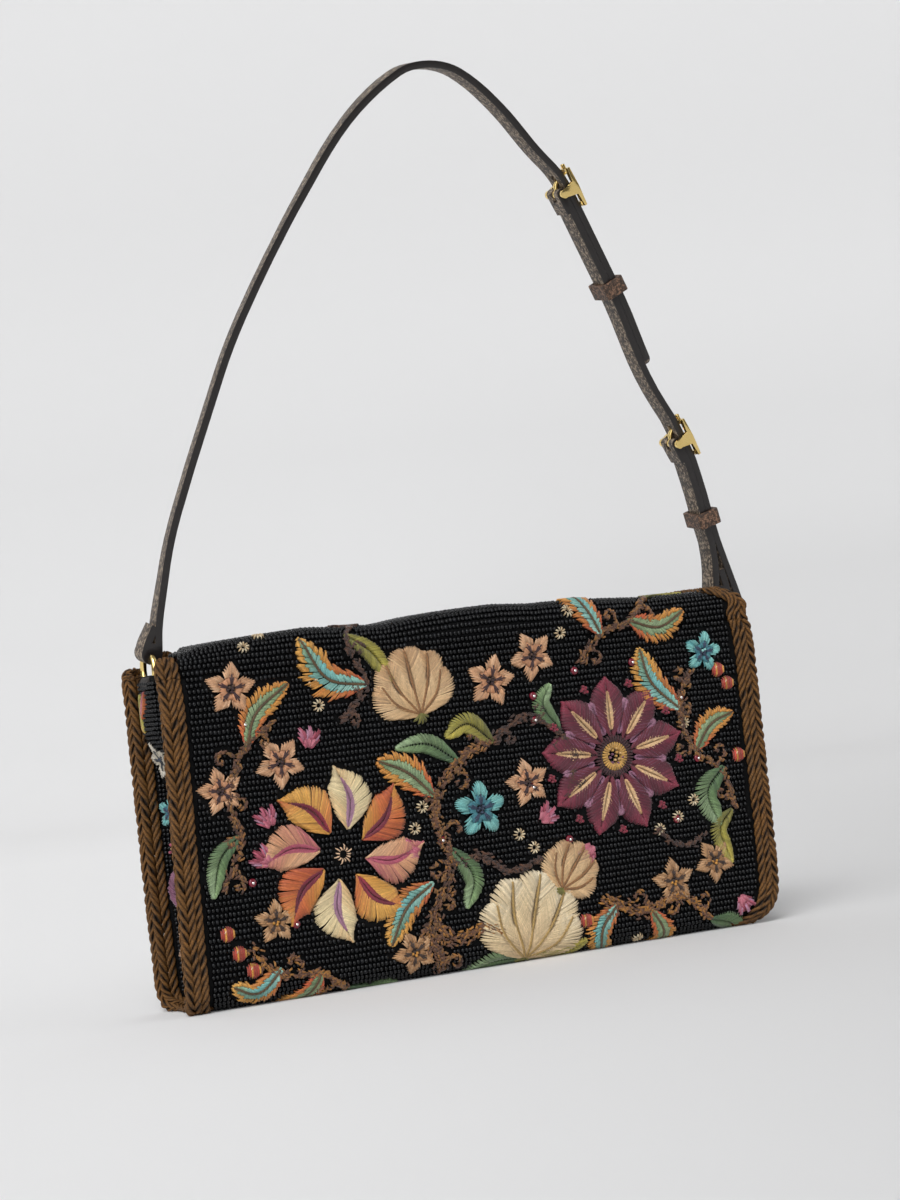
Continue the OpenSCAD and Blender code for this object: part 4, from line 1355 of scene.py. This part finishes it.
class BAG_OT_beads(bpy.types.Operator):
    """Adds the rows of glass beads on every cloth"""

    bl_idname = "bag.beads"
    bl_label = "Beads"

    def execute(self, context):
        rng = np.random.default_rng(11)
        plans = hoops()
        near, far = Cover(plans["near"]), Cover(plans["far"])

        def inner(s, side):
            if side < 0 and s < LEFT_END:
                return half_width(OVER.at(s)[1], side) - TRIM_W - TRIM_GAP
            return outer_edge(s, side) - TRIM_W * (1 - top_narrow(s, side)) - TRIM_GAP
        x, s = bead_rows(0, NEAR_SPLIT, inner, rng, near.free, left_gap=1.3)
        for name, part in (("beads_back_left", x < 0), ("beads_back_right", x >= 0)):
            beads_on(name, OVER, x[part], s[part], rng, "bag")
        x, s = bead_rows(NEAR_SPLIT, FAR_SPLIT, inner, rng,
                         lambda x, s: near.free(x, s) & far.free(x, s))
        beads_on("beads_flap_top", OVER, x, s, rng, "flap_top")

        def in_corner(x, s):
            """Which beads lie inside the braid round the flap's lower corners."""
            low = np.clip(FLAP_LOW + FLAP_CORNER - OVER.at(s)[1], 0, FLAP_CORNER)
            r = FLAP_CORNER - TRIM_W
            return np.abs(x) < FLAP_HALF - TRIM_W - TRIM_GAP - np.where(
                low > 0, r - np.sqrt(np.clip(r ** 2 - np.clip(low, 0, r) ** 2, 0, None)), 0)
        x, s = bead_rows(FAR_SPLIT, OVER.length - TRIM_W - 0.5, inner, rng,
                         lambda x, s: far.free(x, s) & near.free(x, s) & in_corner(x, s))
        for name, part in (("beads_flap_left", x < 0), ("beads_flap_right", x >= 0)):
            beads_on(name, OVER, x[part], s[part], rng, "flap_front")
        x, s = bead_rows(1.2, UNDER.length - 6,
                         lambda s, side: half_width(UNDER.at(s)[1], side) - TRIM_W - TRIM_GAP, rng,
                         lambda x, s: x ** 2 + (s - SNAP_S) ** 2 > SNAP_R ** 2)
        for name, part in (("beads_front_left", x < 0), ("beads_front_right", x >= 0)):
            beads_on(name, UNDER, x[part], s[part], rng, "bag", out=lambda x, s: -0.15, hidden=True)
        return {"FINISHED"}


FOLD_Y = (-16.6, -15.5, -14, -10.7, -7.5, -6, 6, 7.5, 10.7, 14, 15.5, 16.6)
FOLD_X = (124.2, 123.9, 123.4, 122.2, 121, 120.5, 120.5, 121, 122.2, 123.4, 123.9, 124.2)


def end_panel(y, z):
    """How far out an end panel lies: folded in below, arched out over the ring's tab above."""
    high = np.clip((np.asarray(z, float) - 90) / 20, 0, 1)
    high = high * high * (3 - 2 * high)
    arch = 123.5 + 5.4 * (1 - np.clip(np.abs(y) / 15, 0, 1) ** 3.2)
    return (1 - high) * np.interp(y, FOLD_Y, FOLD_X) + high * arch


def panel_span(z):
    """From where to where an end panel spans in y at a height."""
    return (np.interp(z, [0, 9, 131], [-5, -13.2, -16.6]),
            np.interp(z, [0, 9, 131], [5, 13.4, 13.2]))


class BAG_OT_gussets(bpy.types.Operator):
    """Adds the folded end panels with their beads and embroidery"""

    bl_idname = "bag.gussets"
    bl_label = "End panels"

    def execute(self, context):
        rows = hoops()["side"]
        cover = Cover(rows)
        for name, sign in (("left", -1), ("right", 1)):
            rng = np.random.default_rng(21 + sign)

            def place(u, v):
                z = 3 + v * 126
                lo, hi = panel_span(z)
                y = float(lo + u * (hi - lo))
                return sign * float(end_panel(y, z) - 1.1), y, z
            obj = put(f"{name}_gusset_cloth", grid_over(f"{name}_gusset_cloth", 22, 60, place), "bag",
                      stuff(backing_cloth), (f"{name}_gusset",))
            wall = obj.modifiers.new("Wall", "SOLIDIFY")
            wall.thickness, wall.offset = 0.5 * MM, -sign
            # Its beads are sewn on in upright rows
            row, step = bead_spacing()
            ys, zs = [], []
            for k in range(int(125.5 / step)):
                z = 4 + step * k
                lo, hi = panel_span(z)
                fine = np.linspace(lo + 0.6, hi - 0.4, 160)
                run = np.concatenate([[0], np.cumsum(np.hypot(np.diff(fine),
                                                              np.diff(end_panel(fine, z))))])
                start = run[-1] / 2 % row
                y = np.interp(np.arange(start, run[-1], row), run, fine)
                ys.append(y + rng.normal(0, 0.1, len(y)))
                zs.append(np.full(len(y), z) + rng.normal(0, 0.1, len(y)))
            y, z = np.concatenate(ys), np.concatenate(zs)
            ok = cover.free(-sign * y, z)
            y, z = y[ok], z[ok]
            rise = (end_panel(y + 0.2, z) - end_panel(y - 0.2, z)) / 0.4
            climb = (end_panel(y, z + 0.2) - end_panel(y, z - 0.2)) / 0.4
            outwards = np.full(len(y), float(sign))
            along, normal = (v / np.linalg.norm(v, axis=1, keepdims=True) for v in (
                np.stack([rise, outwards, 0 * y], axis=1),
                np.stack([outwards, -rise, -climb], axis=1)))
            centre = np.stack([sign * end_panel(y, z), y, z], axis=1) - 0.2 * normal
            beads_at(f"beads_{name}_gusset", centre, np.cross(normal, along), -along, normal, rng,
                     "bag")
            flat = Section([(0, 0, 0), (0, 200, 0)])

            def fold_onto(centre, normal):
                """From the plan, with x across and z up, onto the folded panel."""
                y = -sign * centre[..., 0]
                x = end_panel(y, centre[..., 2]) + 0.55 + centre[..., 1]
                out = np.zeros_like(normal)
                out[..., 0] = sign
                return np.stack([sign * x, y, centre[..., 2]], axis=2), out
            lay_stitches(f"embroidery_{name}_gusset", flat, rows, "bag", lambda x, s: 0.0, fold_onto)
        return {"FINISHED"}


class BAG_OT_embroidery(bpy.types.Operator):
    """Adds the embroidered flowers, leaves and stems"""

    bl_idname = "bag.embroidery"
    bl_label = "Embroidery"

    def execute(self, context):
        near, far = hoops()["near"], hoops()["far"]
        middle = (near[:, 1] + near[:, 3]) / 2
        back, x = near[middle < NEAR_SPLIT], near[middle < NEAR_SPLIT, 0]
        for name, part in (("left", x < -45), ("middle", (x >= -45) & (x < 38)), ("right", x >= 38)):
            lay_stitches(f"embroidery_back_{name}", OVER, back[part], "bag")
        lay_stitches("embroidery_top", OVER, near[middle >= NEAR_SPLIT], "flap_top")
        sequins("sequins_back", OVER, SEQUINS, "bag")
        for name, part in (("left", far[:, 0] < 0), ("right", far[:, 0] >= 0)):
            lay_stitches(f"embroidery_flap_{name}", OVER, far[part], "flap_front", sides=5)
        return {"FINISHED"}


# Braid

# Each cord's distance inwards, depth and half sizes: three on the face, one on the edge, two behind
CORDS = [(1.75, 0.15, 1.75, 1.3), (4.75, 0.0, 1.75, 1.3), (7.7, 0.15, 1.75, 1.3),
         (1.25, 1.8, 1.25, 1.35), (3.2, 2.95, 1.9, 1.0), (6.9, 2.9, 1.9, 1.0)]
HANDS = (-1, 1, 1, 1, -1, 1)     # which way each cord is twisted
PLIES = 3


def twist_up(name, lines, body, node):
    """Twisted cords. A line is its centres, sides, normals, lengths and radii."""
    meshes = []
    twist = mm(bpy.context.scene.bag_braid.twist)
    for line, lateral, normal, length, wide, high in lines:
        n = len(line)
        slack = 1 + 0.07 * np.sin(length / 5.3) * np.sin(length / 2.9 + 1)
        for ply in range(PLIES):
            turn = (2 * math.pi * (length / twist + ply / PLIES)
                    + 0.3 * np.sin(length / 3.7 + 2.4 * ply) + 0.25 * np.sin(length / 9.1 + ply))
            centre = (line + (0.55 * slack * wide * np.cos(turn))[:, None] * lateral
                      + (0.55 * slack * high * np.sin(turn))[:, None] * normal)
            mesh = strands(name, centre[None], lateral[None], normal[None],
                           np.full((1, n), 0.5 * wide), np.full((1, n), 0.5 * high),
                           sides=7, twist=1.4)
            ring, c, s, _ = rod(n, 7)
            turned = turn[ring]
            # Painted shade: each point's distance from its cord's axis, which the material turns into
            # dark grooves and light crests.
            painted_ply_shade = np.hypot(0.55 * np.cos(turned) + 0.5 * c, 0.55 * np.sin(turned) + 0.5 * s)
            layer = mesh.attributes.new("painted_ply_shade", "FLOAT", "POINT")
            layer.data.foreach_set("value", painted_ply_shade.astype(np.float32))
            meshes.append(mesh)
    bm = bmesh.new()
    for mesh in meshes:
        bm.from_mesh(mesh)
        bpy.data.meshes.remove(mesh)
    whole = bpy.data.meshes.new(name)
    bm.to_mesh(whole)
    bm.free()
    return put(name, whole, body, stuff(braid_cord), (node,) if node else ())


def cord_lines(points, lateral, normal, scale=1.0, closed=(False, False)):
    """The cords of a trim along its outer edge, some with closed ends: lateral points inwards."""
    ahead = np.gradient(points, axis=0)
    scale = np.full(len(points), 1.0) * scale
    along = np.concatenate([[0], np.cumsum(np.linalg.norm(np.diff(points, axis=0), axis=1))])
    end = np.minimum(along if closed[0] else 9, along[-1] - along if closed[1] else 9)
    drawn_in = np.sqrt(1 - (1 - np.clip(end / 6, 0.01, 1)) ** 2)
    end = np.sqrt(1 - (1 - np.clip(end / 2.4, 0.02, 1)) ** 2)
    lines = []
    for k, (inwards, depth, wide, high) in enumerate(CORDS):
        wide, high = wide * (0.35 + 0.65 * scale) * end, high * end
        inwards = TRIM_W / 2 + (inwards - TRIM_W / 2) * (0.25 + 0.75 * drawn_in)
        line = points + (inwards * scale)[:, None] * lateral - depth * normal
        line[:, 2] = np.maximum(line[:, 2], high + 0.02)
        tangent = ahead / np.linalg.norm(ahead, axis=1, keepdims=True)
        across = np.cross(normal, tangent)
        lines.append((line, across, normal, HANDS[k] * along + 1.7 * k, wide, high))
    return lines


def trim_edge(sign, x, y, z, ny, nz):
    """A trim's outer edge as its points, inward directions and normals, on the side of sign."""
    return (np.stack([sign * x, y, z], axis=1), np.tile([-float(sign), 0, 0], (len(y), 1)),
            np.stack([0 * y, ny, nz], axis=1))


class BAG_OT_braid(bpy.types.Operator):
    """Adds the twisted cords of the end trims and of the flap's edge"""

    bl_idname = "bag.braid"
    bl_label = "Braid"

    def execute(self, context):
        for name, sign in (("left", -1), ("right", 1)):
            s_over = np.arange(0, NEAR_SPLIT - 0.6, 1.0)
            s_under = np.arange(CURLED.length - 0.2, 0.5, -1.0)
            far = CURLED.at(s_under)
            near = OVER.at(s_over, swell(sign * outer_edge(s_over, sign), s_over))
            flare = np.interp(far[1], (0, 9, 40, 127), (0, 0.9, 1.8, 3.0))
            edge = half_width(near[1], sign) if sign < 0 else outer_edge(s_over, sign)
            x = np.concatenate([half_width(far[1], sign) + flare, edge])
            line = trim_edge(sign, x, *(np.concatenate(pair) for pair in zip(far, near)))
            twist_up(f"{name}_braid", cord_lines(*line, 1.0, (True, False)), "bag", f"{name}_trim")
            # On the right it turns in over the top, on the left it ends on the near fold
            last = LEFT_END if sign < 0 else FAR_SPLIT + 0.5
            s = np.arange(NEAR_SPLIT - 1.5, last, 1.0)
            x = half_width(OVER.at(s)[1], sign) if sign < 0 else outer_edge(s, sign)
            line = trim_edge(sign, x, *OVER.at(s, swell(sign * x, s)))
            scale = 1.0 if sign < 0 else 1 - top_narrow(s, sign)
            twist_up(f"{name}_flap_top_braid", cord_lines(*line, scale, (False, sign < 0)),
                     "flap_top", "flap_top_trim" if sign < 0 else None)
        # Half of the flap's braid: down its right edge, round the corner, along its lower edge
        s = np.arange(FAR_SPLIT, OVER.length - FLAP_CORNER, 1.0)
        right = trim_edge(1, outer_edge(s, 1), *OVER.at(s))
        turns = np.radians(np.arange(3, 90, 3.0))
        middle = FLAP_HALF - FLAP_CORNER
        corner = np.stack([middle + FLAP_CORNER * np.cos(turns), 0 * turns + FLAP_Y,
                           FLAP_LOW + FLAP_CORNER - FLAP_CORNER * np.sin(turns)], axis=1)
        bottom = np.arange(middle, -0.5, -1.0)
        low = np.stack([bottom, 0 * bottom + FLAP_Y, 0 * bottom + FLAP_LOW], axis=1)
        points = np.vstack([right[0], corner, low])
        lateral = np.vstack([right[1], np.stack([-np.cos(turns), 0 * turns, np.sin(turns)], axis=1),
                             np.tile([0, 0, 1.0], (len(low), 1))])
        normal = np.vstack([right[2], np.tile([0, 1.0, 0], (len(corner) + len(low), 1))])
        # Its other half mirrors it, and ends a little below the fold
        whole = (np.vstack([v, v[-2:7:-1] * [-1, 1, 1]]) for v in (points, lateral, normal))
        lines = cord_lines(*whole, closed=(False, True))
        twist_up("flap_braid", lines[:3], "flap_front", "flap_front_trim")
        twist_up("flap_braid_inner", lines[3:], "flap_front", None)
        return {"FINISHED"}


# Leather and metal


def softened(node, name, body, material, width, segments=2, shape=None, cuts=True):
    """A copy of a CAD node with rounded edges, which replaces it. A shape moves its points:
    before the rounding, or after it and after cuts at the heights of SHAPED_Z."""
    bm = bmesh.new()
    bm.from_mesh(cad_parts[node].data)
    bmesh.ops.remove_doubles(bm, verts=bm.verts, dist=0.01 * MM)
    bmesh.ops.dissolve_limit(bm, angle_limit=math.radians(1.0), verts=bm.verts, edges=bm.edges)
    if shape is not None and not cuts:
        for v in bm.verts:
            v.co = Vector(shape(*(v.co / MM))) * MM
    sharp = [e for e in bm.edges
             if len(e.link_faces) == 2 and e.calc_face_angle(0) > math.radians(50)]
    bmesh.ops.bevel(bm, geom=sharp, offset=width * MM, offset_type="OFFSET", affect="EDGES",
                    segments=segments, profile=0.5, material=-1, clamp_overlap=True)
    if shape is not None and cuts:
        for z in SHAPED_Z:
            bmesh.ops.bisect_plane(bm, geom=bm.verts[:] + bm.edges[:] + bm.faces[:],
                                   plane_co=(0, 0, z * MM), plane_no=(0, 0, 1))
        for v in bm.verts:
            v.co = Vector(shape(*(v.co / MM))) * MM
    bmesh.ops.triangulate(bm, faces=[f for f in bm.faces if len(f.verts) > 4])
    mesh = bpy.data.meshes.new(name)
    bm.to_mesh(mesh)
    bm.free()
    for p in mesh.polygons:
        p.use_smooth = True
    mesh.set_sharp_from_angle(angle=math.radians(38))
    return put(name, mesh, body, material, (node,))


# How the leather hangs: heights, the left leg's turn about its near edge, and the right leg's bow
SHAPED_Z = (140, 150, 166, 185, 212, 218, 224, 230, 236, 242, 248, 255, 262, 290, 306, 312, 318,
            324, 334)
LEG_TURN = ((136, 150, 166, 185, 290, 334, 350), (0, 0.07, 0.14, 0.19, 0.2, 0.12, 0))
LEG_BOW = ((211, 218, 224, 230, 236, 242, 248, 255, 262, 306, 312, 318, 324, 334, 345),
           (0, -1.2, -2.0, -2.3, -2.2, -1.7, -1.1, -0.4, 0, 0, -1.0, -1.5, -1.5, -0.8, 0))


def slimmer(pin):
    """Hollows a buckle's arms under their ends; pin is its bar's x and height along the strap."""
    along = np.array([0.4587, -0.8886])    # down the strap's right leg, and out of its plane
    out = np.array([0.8886, 0.4587])

    def shape(x, y, z):
        up = (z - RING_Z) * math.cos(LEAN) - y * math.sin(LEAN)
        d = np.dot((x - pin[0], up - pin[1]), along)
        n = np.dot((x - pin[0], up - pin[1]), out)
        if abs(d) > 2.2 and -0.2 < n < 1.3:
            grow = 1.25
        elif n > 3:
            grow = -0.3
        else:
            return x, y, z
        side, rise = grow * out[0], grow * out[1]
        return x + side, y - rise * math.sin(LEAN), z + rise * math.cos(LEAN)
    return shape


def hanging(x, y, z):
    """A point of the strap moved to where the soft leather lies."""
    across = y * math.cos(LEAN) + (z - RING_Z) * math.sin(LEAN)
    if x < 0:
        return x + (across + STRAP_HALF) * np.interp(z, *LEG_TURN), y, z
    return x + np.interp(z, *LEG_BOW), y, z


class BAG_OT_leather(bpy.types.Operator):
    """Adds the leather strap, its keepers, the ring tabs and the front's binding"""

    bl_idname = "bag.leather"
    bl_label = "Leather"

    def execute(self, context):
        rounding = mm(context.scene.bag_leather.rounding)
        for node in ("long_strap", "middle_strap", "lower_strap"):
            softened(node, f"{node}_leather", "strap", strap_leather(), rounding,
                     shape=hanging)
        for node in ("upper_keeper", "lower_keeper"):
            softened(node, f"{node}_leather", node, keeper_leather(), 0.55, 3)
        for node in ("left_ring_tab", "right_ring_tab"):
            softened(node, f"{node}_leather", "bag",
                     stuff(leather, "Dark plain calf", "#1C1816", "#241F1C", "#332C28", False),
                     0.35)
        softened("front_binding", "front_binding_strip", "bag", keeper_leather(),
                 0.3)
        return {"FINISHED"}


class BAG_OT_metal(bpy.types.Operator):
    """Adds the gold rings, buckles, tongues and the snap"""

    bl_idname = "bag.metal"
    bl_label = "Metal"

    def execute(self, context):
        gold = stuff(gold_plate)
        for node, pin in (("upper_buckle", (59.2, 177.3)), ("lower_buckle", (109.37, 73.78))):
            softened(node, f"{node}_gold", "strap", gold,
                     mm(context.scene.bag_metal.buckle_rounding), 3, slimmer(pin), False)
        for node, body, width in (
                ("upper_tongue", "upper_tongue", 0.3), ("lower_tongue", "lower_tongue", 0.3),
                ("snap_socket", "bag", 0.25),
                ("left_ring", "bag", 0.05), ("right_ring", "bag", 0.05)):
            softened(node, f"{node}_gold", body, gold, width)
        # The stud's back plate stays under the flap's cloth
        softened("snap_stud", "snap_stud_gold", "flap_front", gold, 0.25,
                 shape=lambda x, y, z: (x, min(y, 18.8), z), cuts=False)
        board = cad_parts["base_board"]
        board.data.materials.clear()
        board.data.materials.append(stuff(grey_board))
        return {"FINISHED"}


STEPS = [BAG_OT_stage, BAG_OT_cloth, BAG_OT_lining, BAG_OT_beads, BAG_OT_gussets, BAG_OT_embroidery,
         BAG_OT_braid, BAG_OT_leather, BAG_OT_metal]


class BAG_PT_panel(bpy.types.Panel):
    """Lists the bag's steps and settings"""

    bl_idname = "BAG_PT_panel"
    bl_label = "Baguette bag"
    bl_space_type = "VIEW_3D"
    bl_region_type = "UI"
    bl_category = "Bag"

    def draw(self, context):
        for step in STEPS:
            self.layout.operator(step.bl_idname)
        for name, group in SETTINGS.items():
            box = self.layout.box()
            box.label(text=name.replace("bag_", "").capitalize())
            for value in group.__annotations__:
                box.prop(getattr(context.scene, name), value)


CLASSES = [*SETTINGS.values(), *STEPS, BAG_PT_panel]


def register():
    for cls in CLASSES:
        bpy.utils.register_class(cls)
    for name, group in SETTINGS.items():
        setattr(bpy.types.Scene, name, bpy.props.PointerProperty(type=group))


def unregister():
    for name in SETTINGS:
        delattr(bpy.types.Scene, name)
    for cls in reversed(CLASSES):
        bpy.utils.unregister_class(cls)


def main():
    register()
    for step in STEPS:
        group, name = step.bl_idname.split(".")
        getattr(getattr(bpy.ops, group), name)()


if __name__ == "__main__":
    main()
